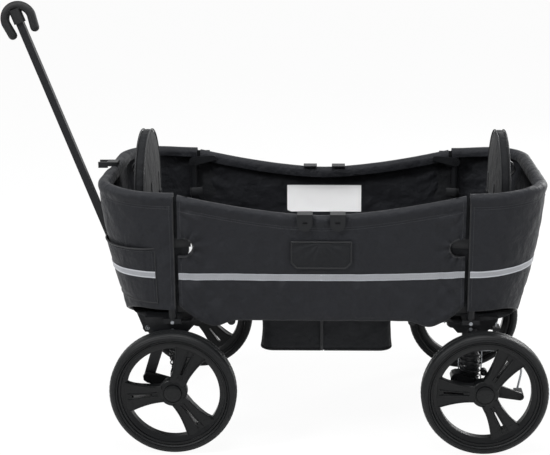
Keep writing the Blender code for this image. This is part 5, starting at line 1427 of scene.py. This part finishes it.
# Padding.
def prism_rows(outline, place, low, high, round_off):
    """Level outlines of a pad from one face to the other, with rounded edges."""
    centre = Vector((sum(p[0] for p in outline), sum(p[1] for p in outline))) / len(outline)
    rows = []
    steps = []
    for t in degrees(0, 90, 30):
        steps.append((low + round_off * (1 - math.cos(t)), round_off * (1 - math.sin(t))))
    steps += [(high - (w - low), inset) for w, inset in reversed(steps)]
    for w, inset in steps:
        ring = []
        for u, v in outline:
            away = Vector((u, v)) - centre
            share = 1 - inset / max(away.length, 0.001)
            ring.append(place(centre.x + away.x * share, centre.y + away.y * share, w))
        rows.append(ring)
    return rows


def outline_distance(outline, u, v):
    """Distance of a point from an outline's nearest edge."""
    best = 1.0
    for (ax, ay), (bx, by) in zip(outline, outline[1:] + outline[:1]):
        dx, dy = bx - ax, by - ay
        t = min(max(((u - ax) * dx + (v - ay) * dy) / max(dx * dx + dy * dy, 1e-12), 0.0), 1.0)
        best = min(best, math.hypot(u - ax - dx * t, v - ay - dy * t))
    return best


def pad(name, outline, place, unplace, low, high, seams, limit):
    """A stuffed pad: sewn edges and seams hold still while the filling crowns the cover between them."""
    own = sizes()
    thing = swept(name, prism_rows(outline, place, low, high, 0.007), pad_cloth)
    mesh_step = thing.modifiers.new("cells", "REMESH")
    mesh_step.mode, mesh_step.voxel_size = "VOXEL", own.voxel
    apply_all(thing)
    rest = [v.co.copy() for v in thing.data.vertices]
    held = []
    for i, p in enumerate(rest):
        u, v, w = unplace(p)
        edge = outline_distance(outline, u, v)
        if edge < 0.0055 or any(abs(seam(u, v)) < 0.003 for seam in seams):
            held.append(i)
    group = thing.vertex_groups.new(name="sewn")
    group.add(held, 1.0, "REPLACE")
    step = thing.modifiers.new("filling", "CLOTH")
    cloth = step.settings
    cloth.quality, cloth.mass = 4, 0.25
    cloth.tension_stiffness, cloth.compression_stiffness, cloth.shear_stiffness = 12.0, 8.0, 4.0
    cloth.bending_stiffness = 0.6
    cloth.use_pressure, cloth.uniform_pressure_force = True, 4.0
    cloth.vertex_group_mass = "sewn"
    cloth.effector_weights.gravity = 0
    for number in range(1, 21):
        bpy.context.scene.frame_set(number)
    apply_all(thing)
    bpy.context.scene.frame_set(1)
    thing.vertex_groups.clear()
    for i, v in enumerate(thing.data.vertices):
        move = v.co - rest[i]
        if move.length > own.cushion_swell:
            v.co = rest[i] + move.normalized() * own.cushion_swell
        v.co = limit(v.co)
    step = thing.modifiers.new("finer", "SUBSURF")
    step.levels = 1
    apply_all(thing)
    thing.data.materials.clear()
    thing.data.materials.append(kept(pad_cloth))
    smooth(thing, 60.0)
    return thing


def rounded_outline(corners, radius):
    """A closed flat outline with rounded corners."""
    return [(p.x, p.y) for p in rounded([(u, v, 0) for u, v in corners], radius, 6, True)]


def seat_like(name, end, near, far, half_y, low, high, crown, seams, limit):
    """A flat-lying cushion between two places along the wagon."""
    four = [(near, -half_y), (far, -half_y), (far, half_y), (near, half_y)]
    dense = dense_outline(rounded_outline(four, 0.016))

    def place(u, v, w):
        return at(end * u, v, w)

    def unplace(p):
        return end * (p.x - FOLD_X), p.y, p.z

    thing = pad(name, dense, place, unplace, low, high - crown, seams, limit)
    edge = [place(u, v, high - crown - 0.002) for u, v in dense]
    cord = tube(f"{name}_piping", edge, sizes().piping_radius, webbing_tape, 8, True)
    return thing, cord


class WAGON_OT_cushions(bpy.types.Operator):
    """Make the seat and floor cushions with crowned covers and corded edges"""

    bl_idname = "wagon.cushions"
    bl_label = "Cushions"

    def execute(self, context):
        for end in (FRONT, REAR):
            tag = END_NAMES[end]
            under_back = BACKREST_X - BACKREST_HALF - 0.006

            def seat_limit(p, end=end):
                x = end * (p.x - FOLD_X)
                top = SEAT_TOP_Z - 0.0005 if x > under_back else SEAT_TOP_Z + 0.0030
                return Vector(
                    (min(max(x, POST_X + 0.0003), 0.4404) * end + FOLD_X, p.y, min(max(p.z, 0.3316), top))
                )

            seat, cord = seat_like(
                f"seat_cushion_{tag}", end, POST_X + 0.0012, 0.4396, 0.1978, 0.3316, SEAT_TOP_Z, 0.0035,
                [lambda u, v: abs(v) - 0.066], seat_limit,
            )
            settle(seat, f"{tag}_frame", [f"{tag}_seat"])
            settle(cord, f"{tag}_frame")

            def floor_limit(p, end=end):
                x = end * (p.x - FOLD_X)
                return Vector(
                    (min(max(x, 0.1702), 0.3066) * end + FOLD_X, p.y, min(max(p.z, 0.3070), 0.3690))
                )

            mat, cord = seat_like(f"floor_cushion_{tag}", end, 0.1712, 0.3058, 0.1850, 0.3074, 0.366, 0.0035,
                                  [lambda u, v: abs(v) - 0.062], floor_limit)
            settle(mat, f"{tag}_floor", [f"{tag}_floor_cushion"])
            settle(cord, f"{tag}_floor")
        return {"FINISHED"}


def backrest_outline():
    """Round-topped outline of a backrest as (y, z) pairs."""
    half, round_z = BACKREST_RADIUS, BACKREST_TOP_Z - BACKREST_RADIUS
    points = [(-half + 0.001, BACKREST_LOW_Z + 0.001), (half - 0.001, BACKREST_LOW_Z + 0.001)]
    points = rounded_outline([*points, (half - 0.001, round_z), (-half + 0.001, round_z)], 0.014)
    points = [p for p in points if p[1] < round_z - 0.02]
    start = max(points, key=lambda p: (p[0] > 0, p[1]))
    points = points[points.index(start) + 1:] + points[:points.index(start) + 1]
    arc = [((half - 0.001) * math.cos(t), round_z + (half - 0.001) * math.sin(t)) for t in degrees(0, 180, 4)]
    return dense_outline(points + arc)


def ribbon(name, path, out, width, thick, make):
    """A flat strap along a path; out points away from what it lies on, once or for each point."""
    path = [Vector(p) for p in path]
    rows, maps = [], []
    run = 0.0
    for i, place in enumerate(path):
        along = (path[min(i + 1, len(path) - 1)] - path[max(i - 1, 0)]).normalized()
        up = Vector(out[i] if isinstance(out, list) else out)
        up = (up - along * up.dot(along)).normalized()
        across = along.cross(up) * (width / 2)
        run += (place - path[i - 1]).length if i else 0.0
        rows.append(
            [
                place - across, place - across * 0.9 + up * thick, place + across * 0.9 + up * thick,
                place + across,
            ]
        )
        maps.append([(run, 0.0), (run, 0.1 * width), (run, 0.9 * width), (run, width)])
    return swept(name, rows, make, False, maps)


def on_surface(thing, origin, direction, lift):
    """The place where a line first meets an object, lifted off it, or nothing."""
    hit, place, _, _ = thing.ray_cast(origin, direction, distance=0.2)
    return place - direction * lift if hit else None


def centred_block(name, middle, half, make, bevel):
    """A rounded box about its middle, half as wide each way as the three sizes say."""
    return block(name, middle - Vector(half), middle + Vector(half), make, bevel)


class WAGON_OT_backrests(bpy.types.Operator):
    """Make the round-topped backrests with corded edges, their harnesses and the loops behind them"""

    bl_idname = "wagon.backrests"
    bl_label = "Backrests and harnesses"

    def execute(self, context):
        outline = backrest_outline()
        for end in (FRONT, REAR):
            tag = END_NAMES[end]

            def place(u, v, w, end=end):
                return at(end * w, u, v)

            def unplace(p, end=end):
                return p.y, p.z, end * (p.x - FOLD_X)

            def limit(p, end=end):
                x = min(
                    max(end * (p.x - FOLD_X), BACKREST_X - BACKREST_HALF - 0.0055),
                    BACKREST_X + BACKREST_HALF + 0.0050,
                )
                return Vector((end * x + FOLD_X, p.y, max(p.z, BACKREST_LOW_Z + 0.0004)))

            low, high = BACKREST_X - BACKREST_HALF, BACKREST_X + BACKREST_HALF
            back = pad(f"backrest_pad_{tag}", outline, place, unplace, low + 0.0015, high - 0.0015, [], limit)
            bpy.context.view_layer.update()
            cords = []
            for n, w in (("inner", low + 0.0035), ("outer", high - 0.0035)):
                edge = [place(u, v, w) for u, v in outline]
                cords.append(
                    tube(
                        f"backrest_piping_{tag}_{n}", edge, sizes().piping_radius * 1.1, webbing_tape, 8,
                        True,
                    )
                )
            settle(back, f"{tag}_frame", [f"{tag}_backrest"])
            for cord in cords:
                settle(cord, f"{tag}_frame")
            towards = Vector((end, 0, 0))
            parts = []
            for side in (LEFT, RIGHT):
                path = []
                marks = [(0.010, 0.452), (0.030, 0.480), (0.052, 0.515), (0.060, 0.595)]
                for (ya, za), (yb, zb) in zip(marks, marks[1:]):
                    for k in range(9):
                        y, z = side * (ya + (yb - ya) * k / 9), za + (zb - za) * k / 9
                        found = on_surface(back, at(end * 0.36, y, z), towards, 0.0006)
                        path.append(found or at(end * 0.406, y, z))
                parts.append(ribbon("strap", path, -towards, 0.024, 0.0016, webbing_tape))
                slide = on_surface(back, at(end * 0.36, side * 0.055, 0.535), towards, 0.0024)
                slide = slide or at(end * 0.404, side * 0.055, 0.535)
                parts.append(centred_block("slide", slide, (0.0022, 0.0155, 0.007), moulded_nylon, 0.0012))
            path = []
            for k in range(9):
                z = 0.374 + 0.060 * k / 8
                found = on_surface(back, at(end * 0.36, 0.0, z), towards, 0.0010)
                path.append(found or at(end * 0.405, 0.0, z))
            parts.append(ribbon("strap", path, -towards, 0.026, 0.0016, webbing_tape))
            middle = on_surface(
                back, at(end * 0.36, 0.0, 0.443), towards, 0.004
            ) or at(end * 0.402, 0.0, 0.443)
            parts.append(centred_block("buckle", middle, (0.0045, 0.0210, 0.0185), moulded_nylon, 0.0030))
            button = middle - towards * 0.0046
            parts.append(centred_block("button", button, (0.0014, 0.0085, 0.0085), hub_gloss, 0.0012))
            harness = joined(f"harness_set_{tag}", parts)
            settle(harness, f"{tag}_frame", [f"{tag}_harness"])
            loop, outs = [], []
            for k in range(19):
                out = math.sin(math.pi * k / 18)
                loop.append(
                    at(
                        end * (BACKREST_X + BACKREST_HALF + 0.004 + 0.030 * out), 0.082,
                        0.560 + 0.060 * k / 18,
                    )
                )
                outs.append(Vector((end * out, 0, math.cos(math.pi * (1 - k / 18)) * 0.6)))
            strap = ribbon(f"back_loop_{tag}", loop, outs, 0.020, 0.0018, webbing_tape)
            settle(strap, f"{tag}_frame")
        return {"FINISHED"}


class WAGON_OT_straps(bpy.types.Operator):
    """Make the straps that hold the side panels to the posts through their notches"""

    bl_idname = "wagon.straps"
    bl_label = "Post straps"

    def execute(self, context):
        width = sizes().strap_width
        for side in (LEFT, RIGHT):
            for end in (FRONT, REAR):
                path = [(0.2915, 0.2572), (0.300, 0.2574), (0.318, 0.2576), (0.330, 0.2577), (0.338, 0.25772)]
                path += [
                    (POST_X + 0.0102 * math.sin(t), 0.2475 + 0.0102 * math.cos(t))
                    for t in degrees(15, 195, 15)
                ]
                path += [(0.328, 0.2385), (0.316, 0.2410)]
                points = [at(end * x, side * y, 0.4915 + 0.002 * (0.338 - x) / 0.05) for x, y in path]
                outs = []
                for k, (x, y) in enumerate(path):
                    before, after = path[max(k - 1, 0)], path[min(k + 1, len(path) - 1)]
                    dx, dy = after[0] - before[0], after[1] - before[1]
                    outs.append(Vector((-end * dy, side * dx, 0)))
                strap = ribbon(
                    f"post_strap_{END_NAMES[end]}_{SIDE_NAMES[side]}", points, outs, width, 0.0008,
                    webbing_tape,
                )
                settle(strap, f"{END_NAMES[end]}_frame")
                # Painted shade: a thin dark sheet of lining cloth closes the gap between panel and wrap, and
                # the notch, from behind. It stands in for the shadowed inside of the basket.
                shade_sheets = []
                for first, low, top in ((0.284, 0.345, 0.545), (0.2965, 0.545, 0.598)):
                    across = sorted((end * first, end * 0.331))
                    deep = sorted((side * 0.2567, side * 0.2571))
                    shade_sheets.append(
                        block(
                            "shade_sheet", at(across[0], deep[0], low), at(across[1], deep[1], top),
                            lining_cloth, 0.0001,
                        )
                    )
                shade_sheet = joined(f"gap_shade_sheet_{END_NAMES[end]}_{SIDE_NAMES[side]}", shade_sheets)
                settle(shade_sheet, f"{END_NAMES[end]}_frame")
        # The photograph shows a white crescent in the front left notch. It is taken as the pale edge of the
        # dark sheet behind the notch.
        arc = [(NOTCH_X - 0.0182 * math.cos(t), NOTCH_Z + 0.0182 * math.sin(t)) for t in degrees(-64, 64, 8)]
        inner = [(x + 0.0075 * math.cos(math.pi * (z - NOTCH_Z) / 0.0345), z) for x, z in reversed(arc)]
        rows = [[at(-x, -y, z) for x, z in arc + inner] for y in (0.2575, 0.2580)]
        inlay = swept("pale_notch_inlay", rows, coated_vinyl)
        settle(inlay, "front_frame")
        return {"FINISHED"}


# Running gear.
def wheel_mesh(name, centre, outward, turn):
    """A moulded wheel: rim, three slotted spokes and a hub with a cap."""
    parts = []
    rim = [
        (0.1247, -0.0165), (0.1236, -0.0180), (0.1190, -0.0180), (0.1178, -0.0140), (0.1100, -0.0112),
        (0.1067, -0.0090), (0.1067, 0.0090), (0.1100, 0.0112), (0.1178, 0.0140), (0.1190, 0.0180),
        (0.1236, 0.0180), (0.1247, 0.0165),
    ]
    parts.append(turned(rim, centre, 96, moulded_wheel, "rim"))
    hub = [
        (0.0, -0.0150), (0.0280, -0.0150), (0.0320, -0.0120), (0.0320, 0.0095), (0.0300, 0.0120),
        (0.0225, 0.0135), (0.0222, 0.0120), (0.0, 0.0120),
    ]
    parts.append(turned([(r, y * outward) for r, y in hub], centre, 64, moulded_wheel, "hub"))
    cap = [
        (0.0, 0.0110), (0.0205, 0.0110), (0.0205, 0.0140), (0.0195, 0.0160), (0.0160, 0.0172),
        (0.0090, 0.0178), (0.0, 0.0179),
    ]
    parts.append(turned([(r, y * outward) for r, y in cap], centre, 48, hub_gloss, "cap"))
    rows = (
        (0.0240, 0.0200, 0.0115), (0.0480, 0.0207, 0.0110), (0.0700, 0.0240, 0.0105),
        (0.0867, 0.0280, 0.0100), (0.0950, 0.0316, 0.0098), (0.1085, 0.0392, 0.0100),
    )

    def widths(r):
        for (ra, wa, ta), (rb, wb, tb) in zip(rows, rows[1:]):
            if r <= rb:
                s = max((r - ra) / (rb - ra), 0.0)
                return wa + (wb - wa) * s, ta + (tb - ta) * s
        return rows[-1][1:]

    for spoke in range(3):
        t = math.radians(turn + 120 * spoke)
        along, across = Vector((math.cos(t), 0, math.sin(t))), Vector((-math.sin(t), 0, math.cos(t)))
        for first, last, low, high in (
            (0.0240, 0.0485, -1, 1), (0.0480, 0.0950, 0, 1), (0.0480, 0.0950, -1, 0),
            (0.0945, 0.1085, -1, 1),
        ):
            sections = []
            for k in range(9):
                r = first + (last - first) * k / 8
                wide, thick = widths(r)
                slot = 0.0013 + (0.0030 - 0.0013) * max(r - 0.048, 0.0) / 0.0467
                inner, outer = -wide if low else slot, wide if high else -slot
                edge = 0.0022
                marks = [
                    (inner, -thick + edge), (inner + edge, -thick), (outer - edge, -thick),
                    (outer, -thick + edge), (outer, thick - edge), (outer - edge, thick),
                    ((inner + outer) / 2, thick - 0.0012), (inner + edge, thick), (inner, thick - edge),
                ]
                section = []
                for c, y in marks:
                    section.append(centre + along * r + across * c + Vector((0, outward * (y + 0.002), 0)))
                sections.append(section)
            parts.append(swept("spoke", sections, moulded_wheel))
        for side in (-1, 1):
            for near, far, radius in ((0.0040, 0.0068, 0.0017), (0.0178, 0.0345, 0.0021)):
                path = []
                for k in range(15):
                    r = 0.036 + 0.068 * k / 14
                    off = side * (near + (far - near) * ((r - 0.036) / 0.068) ** 1.6)
                    path.append(
                        centre
                        + along * r
                        + across * off
                        + Vector((0, outward * (widths(r)[1] + 0.0016), 0))
                    )
                parts.append(tube("spoke_rib", path, radius, moulded_wheel, 8))
    return joined(name, parts)


class WAGON_OT_wheels(bpy.types.Operator):
    """Make the four moulded wheels and their treaded foam tyres"""

    bl_idname = "wagon.wheels"
    bl_label = "Wheels"

    def execute(self, context):
        own = sizes()
        half = TYRE_HALF
        edge = [
            (0.1250, -0.0190), (0.1262, -0.0212), (0.1284, -0.0224), (0.1292, -0.0212), (0.1300, -0.0212),
            (0.1308, -0.0230), (0.1340, -half), (0.1376, -0.0227), (0.1382, -0.0216), (0.1390, -0.0214),
            (0.1398, -0.0208), (0.1420, -0.0188), (0.1439, -0.0152), (0.1449, -0.0110),
        ]
        crown = [
            (0.1450, -0.0070), (0.1450, -0.0012), (0.1443, -0.0004), (0.1443, 0.0004), (0.1450, 0.0012),
            (0.1450, 0.0070),
        ]
        profile = edge + crown + [(r, -y) for r, y in reversed(edge)]
        for end in (FRONT, REAR):
            for side in (LEFT, RIGHT):
                tag = f"{END_NAMES[end]}_{SIDE_NAMES[side]}"
                body = f"{END_NAMES[end]}_wheel_{SIDE_NAMES[side]}"
                centre = at(AXLE_X[end], side * WHEEL_Y, WHEEL_RADIUS)
                tyre = turned(profile, centre, 120, foam_tyre, "tyre_ring")
                count = int(TAU * WHEEL_RADIUS / own.tread_pitch)
                values = {
                    "Count": count, "Radius": WHEEL_RADIUS - 0.0007, "Width": 0.0085,
                    "Length": own.tread_pitch * 0.62, "Offset": 0.0068,
                }
                tread = grown("tread", [centre], "tyre_tread", tread_tree, values, foam_tyre)
                rubber = joined(f"tyre_{tag}", [tyre, tread])
                settle(rubber, body, [f"{END_NAMES[end]}_tyre_{SIDE_NAMES[side]}"])
                wheel = wheel_mesh(f"wheel_{tag}", centre, side, SPOKE_TURN[end])
                settle(wheel, body, [f"{END_NAMES[end]}_wheel_{SIDE_NAMES[side]}"])
        return {"FINISHED"}


def handle_at(x, y, z):
    """A place on the handle, drawn upright about its pivot, turned to how far it leans."""
    lean_x = x * math.cos(HANDLE_LEAN) - z * math.sin(HANDLE_LEAN)
    lean_z = x * math.sin(HANDLE_LEAN) + z * math.cos(HANDLE_LEAN)
    return at(HANDLE_PIVOT[0] + lean_x, y, HANDLE_PIVOT[1] + lean_z)


CASTER_X, CASTER_Y = 0.344, 0.205
SPRING_X, SPRING_Y, SPRING_HEIGHT = -0.331, 0.2055, 0.078


class WAGON_OT_hardware(bpy.types.Operator):
    """Make the grip, bolts, coils, caster rods and the small metal parts"""

    bl_idname = "wagon.hardware"
    bl_label = "Grip and hardware"

    def execute(self, context):
        own = sizes()
        low = 0.7712
        legs = [(-0.028 - (GRIP_BEND - 0.028) * k / 6, low + (HANDLE_LENGTH - low) * k / 6) for k in range(6)]
        bow = [
            (
                GRIP_BEND * math.cos(math.radians(180 - a)),
                HANDLE_LENGTH + GRIP_BEND * math.sin(math.radians(a)),
            )
            for a in range(0, 181, 6)
        ]
        spots = legs + bow + [(-x, z) for x, z in reversed(legs)]
        path = [handle_at(x, 0.0, z) for x, z in spots]
        radii = [GRIP_RADIUS] * len(path)
        tips = []
        for first, second in ((path[0], path[1]), (path[-1], path[-2])):
            out = (first - second).normalized()
            tips.append(
                [first + out * (GRIP_RADIUS * 0.9 * math.sin(math.radians(a))) for a in (30, 55, 75, 88)]
            )
        tip_radii = [GRIP_RADIUS * math.cos(math.radians(a)) for a in (30, 55, 75, 88)]
        path = tips[0][::-1] + path + tips[1]
        radii = tip_radii[::-1] + radii + tip_radii
        grip = tube("grip_cover", path, radii, soft_rubber, 28)
        collar_points = [handle_at(0.0, 0.0, 0.7930), handle_at(0.0, 0.0, 0.8270)]
        collar = tube("collar", collar_points, 0.0142, soft_rubber, 20)
        grip = joined("grip_cover", [grip, collar])
        settle(grip, "pull_handle", ["handle_grip"])
        pivot = [at(HANDLE_PIVOT[0], y, HANDLE_PIVOT[1]) for y in (-0.0185, 0.0185)]
        settle(bolts("handle_pivot_bolts", pivot, 0.0040), "front_frame")
        for end in (FRONT, REAR):
            for side in (LEFT, RIGHT):
                tag = f"{END_NAMES[end]}_{SIDE_NAMES[side]}"
                spots = [
                    at(end * POST_X, side * 0.2583, z) for z in (0.3044, 0.2864 if end == FRONT else 0.2914)
                ]
                settle(
                    bolts(f"post_bolts_{tag}", spots, POST_BOLT_RADIUS), f"{END_NAMES[end]}_frame"
                )
        for side in (LEFT, RIGHT):
            name = SIDE_NAMES[side]
            foot = at(CASTER_X, side * CASTER_Y, 0.150)
            values = {"Turns": 6.0, "Coil radius": 0.0218, "Height": 0.070, "Wire": 0.0026}
            coil = grown(f"caster_coil_{name}", [foot], "coil", coil_tree, values, powder_coat)
            settle(coil, f"caster_{name}")
            rods = []
            for x in (CASTER_X - 0.0262, CASTER_X + 0.0262):
                ends = [at(x, side * CASTER_Y, z) for z in (0.146, 0.226)]
                rods.append(tube("rod", ends, 0.0016, zinc_plate, 10))
            settle(joined(f"caster_rods_{name}", rods), f"caster_{name}")
            for label, x, z in (("front", 0.3102, 0.163), ("rear", 0.3749, 0.1745)):
                knob = tube("knob", [at(x, side * y, z) for y in (0.212, 0.226)], 0.0078, moulded_nylon, 20)
                pin = tube("pin", [at(x, side * y, z) for y in (0.2255, 0.2285)], 0.0030, zinc_plate, 12)
                settle(joined(f"caster_knob_{label}_{name}", [knob, pin]), f"caster_{name}")
            foot = at(SPRING_X, side * SPRING_Y, 0.184)
            values = {
                "Turns": float(own.coil_turns), "Coil radius": 0.0212, "Height": SPRING_HEIGHT,
                "Wire": own.coil_wire,
            }
            coil = grown(f"front_coil_{name}", [foot], "coil", coil_tree, values, powder_coat)
            settle(coil, "front_frame")
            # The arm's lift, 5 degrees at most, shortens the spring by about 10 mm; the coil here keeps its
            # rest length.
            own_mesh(coil)
        return {"FINISHED"}


def wears(name, slot):
    """The finish that a solid of the frame takes, by its name or its slot."""
    if name.startswith("brake_cable"):
        return cable_jacket
    if name.startswith("front_spring"):
        return soft_rubber
    by_slot = {
        "tube": powder_coat, "plastic": moulded_nylon, "rubber": soft_rubber, "steel": zinc_plate,
        "tyre": foam_tyre, "fabric": oxford_cloth,
    }
    return by_slot.get(slot, moulded_nylon)


class WAGON_OT_finishes(bpy.types.Operator):
    """Give every solid of the frame that still shows its own detailed finish"""

    bl_idname = "wagon.finishes"
    bl_label = "Frame finishes"

    def execute(self, context):
        slot_of = {}
        for entry in frame["record"].get("materials", []):
            for node in entry.get("nodes", []):
                slot_of[node] = entry.get("slot")
        for name, node in frame["nodes"].items():
            look = kept(wears(name, slot_of.get(name)))
            node.data.materials.clear()
            node.data.materials.append(look)
            smooth(node, 32.0)
        return {"FINISHED"}


# Stage.
CAMERA_PLACE = (0.042, -3.0658, 1.27833)
CAMERA_YAW, CAMERA_PITCH = 0.014469, 0.260823
CAMERA_LENS, CAMERA_SENSOR, CAMERA_SHIFT_X = 85.695, 36.0, -0.08545
FLOOR_REACH, FLOOR_DROP = 30.0, 0.0005


# Each light's name, place, width in metres and power in watts.
LIGHTS = (
    ("key_light", (-2.4, -1.5, 2.6), 0.7, 105.0),
    ("fill_light", (2.8, -1.6, 1.2), 0.9, 36.0),
    ("top_light", (0.1, -0.6, 3.2), 1.4, 105.0),
    ("back_light", (2.2, 2.4, 1.6), 0.9, 95.0),
)


def area_light(name, place, target, width, power):
    """A soft square light."""
    data = bpy.data.lights.new(name, "AREA")
    data.shape, data.size, data.energy = "SQUARE", width, power
    lamp = bpy.data.objects.new(name, data)
    bpy.context.scene.collection.objects.link(lamp)
    lamp.location = place
    lamp.rotation_euler = (Vector(target) - Vector(place)).to_track_quat("-Z", "Y").to_euler()
    return lamp


def studio_floor():
    """Stage floor: pale matt board, a touch cloudy."""
    colour = colours().floor
    look, tree, shader, places = new_material("matt_board", {"Roughness": 0.9, "Specular IOR Level": 0.1})
    cloud = noise_on(tree, places["Object"], 2.0, 2.0)
    colour_by(tree, shader, mix_colours(tree, cloud, shaded(colour, 0.99), colour))
    # The board shows nearly white to the camera and keeps a faint shadow.
    seen = add(tree, "ShaderNodeLightPath")
    share = add(tree, "ShaderNodeMath", {0: seen.outputs["Is Camera Ray"], 1: 0.95}, operation="MULTIPLY")
    white = add(tree, "ShaderNodeEmission", {"Color": (1, 1, 1, 1), "Strength": 1.0})
    both = add(tree, "ShaderNodeMixShader", {0: share.outputs[0], 1: shader.outputs[0], 2: white.outputs[0]})
    ends = next(node for node in tree.nodes if node.bl_idname == "ShaderNodeOutputMaterial")
    tree.links.new(both.outputs[0], ends.inputs["Surface"])
    return look


class WAGON_OT_stage(bpy.types.Operator):
    """Set the pale floor, the soft lights, the surroundings and the camera"""

    bl_idname = "wagon.stage"
    bl_label = "Stage"

    def execute(self, context):
        scene = context.scene
        edges = [(-1, -1), (1, -1), (1, 1), (-1, 1)]
        floor_points = [(x * FLOOR_REACH, y * FLOOR_REACH, -FLOOR_DROP) for x, y in edges]
        floor = piece("studio_floor", floor_points, [(0, 1, 2, 3)], studio_floor)
        middle = at(0, 0, 0.35)
        for name, place, width, power in LIGHTS:
            area_light(name, at(*place), middle, width, power)
        world = bpy.data.worlds.new("white_studio")
        scene.world = world
        world.use_nodes = True
        tree = world.node_tree
        tree.nodes.clear()
        seen = add(tree, "ShaderNodeLightPath").outputs
        glow = add(tree, "ShaderNodeBackground", {"Color": (1, 1, 1, 1), "Strength": 0.42})
        plain = add(tree, "ShaderNodeBackground", {"Color": (1, 1, 1, 1), "Strength": 1.0})
        shown = seen["Is Camera Ray"]
        for ray in ("Is Glossy Ray", "Is Transmission Ray"):
            shown = add(tree, "ShaderNodeMath", {0: shown, 1: seen[ray]}, operation="MAXIMUM").outputs[0]
        both = add(tree, "ShaderNodeMixShader", {0: shown, 1: glow.outputs[0], 2: plain.outputs[0]})
        add(tree, "ShaderNodeOutputWorld", {"Surface": both.outputs[0]})
        scene.view_settings.view_transform = "Standard"
        data = bpy.data.cameras.new("camera")
        data.lens, data.sensor_width = CAMERA_LENS, CAMERA_SENSOR
        data.shift_x = CAMERA_SHIFT_X
        data.clip_start, data.clip_end = 0.1, 100.0
        camera = bpy.data.objects.new("camera", data)
        scene.collection.objects.link(camera)
        camera.location = at(*CAMERA_PLACE)
        level = math.cos(CAMERA_PITCH)
        forward = Vector(
            (-math.sin(CAMERA_YAW) * level, math.cos(CAMERA_YAW) * level, -math.sin(CAMERA_PITCH))
        )
        camera.rotation_euler = forward.to_track_quat("-Z", "Y").to_euler()
        scene.camera = camera
        return {"FINISHED"}


OPERATORS = (
    WAGON_OT_finishes, WAGON_OT_side_panels, WAGON_OT_end_wraps, WAGON_OT_pockets, WAGON_OT_footwell,
    WAGON_OT_floor_lining, WAGON_OT_cushions, WAGON_OT_backrests, WAGON_OT_straps, WAGON_OT_wheels,
    WAGON_OT_hardware, WAGON_OT_stage,
)


class WAGON_PT_panel(bpy.types.Panel):
    """Lists the wagon's steps, its sizes and its colours"""

    bl_idname = "WAGON_PT_panel"
    bl_label = "Folding wagon"
    bl_space_type = "VIEW_3D"
    bl_region_type = "UI"
    bl_category = "Wagon"

    def draw(self, context):
        layout = self.layout
        for operator in OPERATORS:
            layout.operator(operator.bl_idname)
        for group in (context.scene.wagon_sizes, context.scene.wagon_colours):
            box = layout.box()
            for name in group.__annotations__:
                box.prop(group, name)


CLASSES = (WagonSizes, WagonColours, *OPERATORS, WAGON_PT_panel)


def register():
    """Register the classes and the scene's sizes and colours."""
    for kind in CLASSES:
        bpy.utils.register_class(kind)
    bpy.types.Scene.wagon_sizes = PointerProperty(type=WagonSizes)
    bpy.types.Scene.wagon_colours = PointerProperty(type=WagonColours)


def unregister():
    """Take the classes and the scene's sizes and colours away again."""
    del bpy.types.Scene.wagon_colours
    del bpy.types.Scene.wagon_sizes
    for kind in reversed(CLASSES):
        bpy.utils.unregister_class(kind)


def main():
    """Register the add-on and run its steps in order."""
    register()
    for operator in OPERATORS:
        group, name = operator.bl_idname.split(".")
        getattr(getattr(bpy.ops, group), name)()


if __name__ == "__main__":
    main()
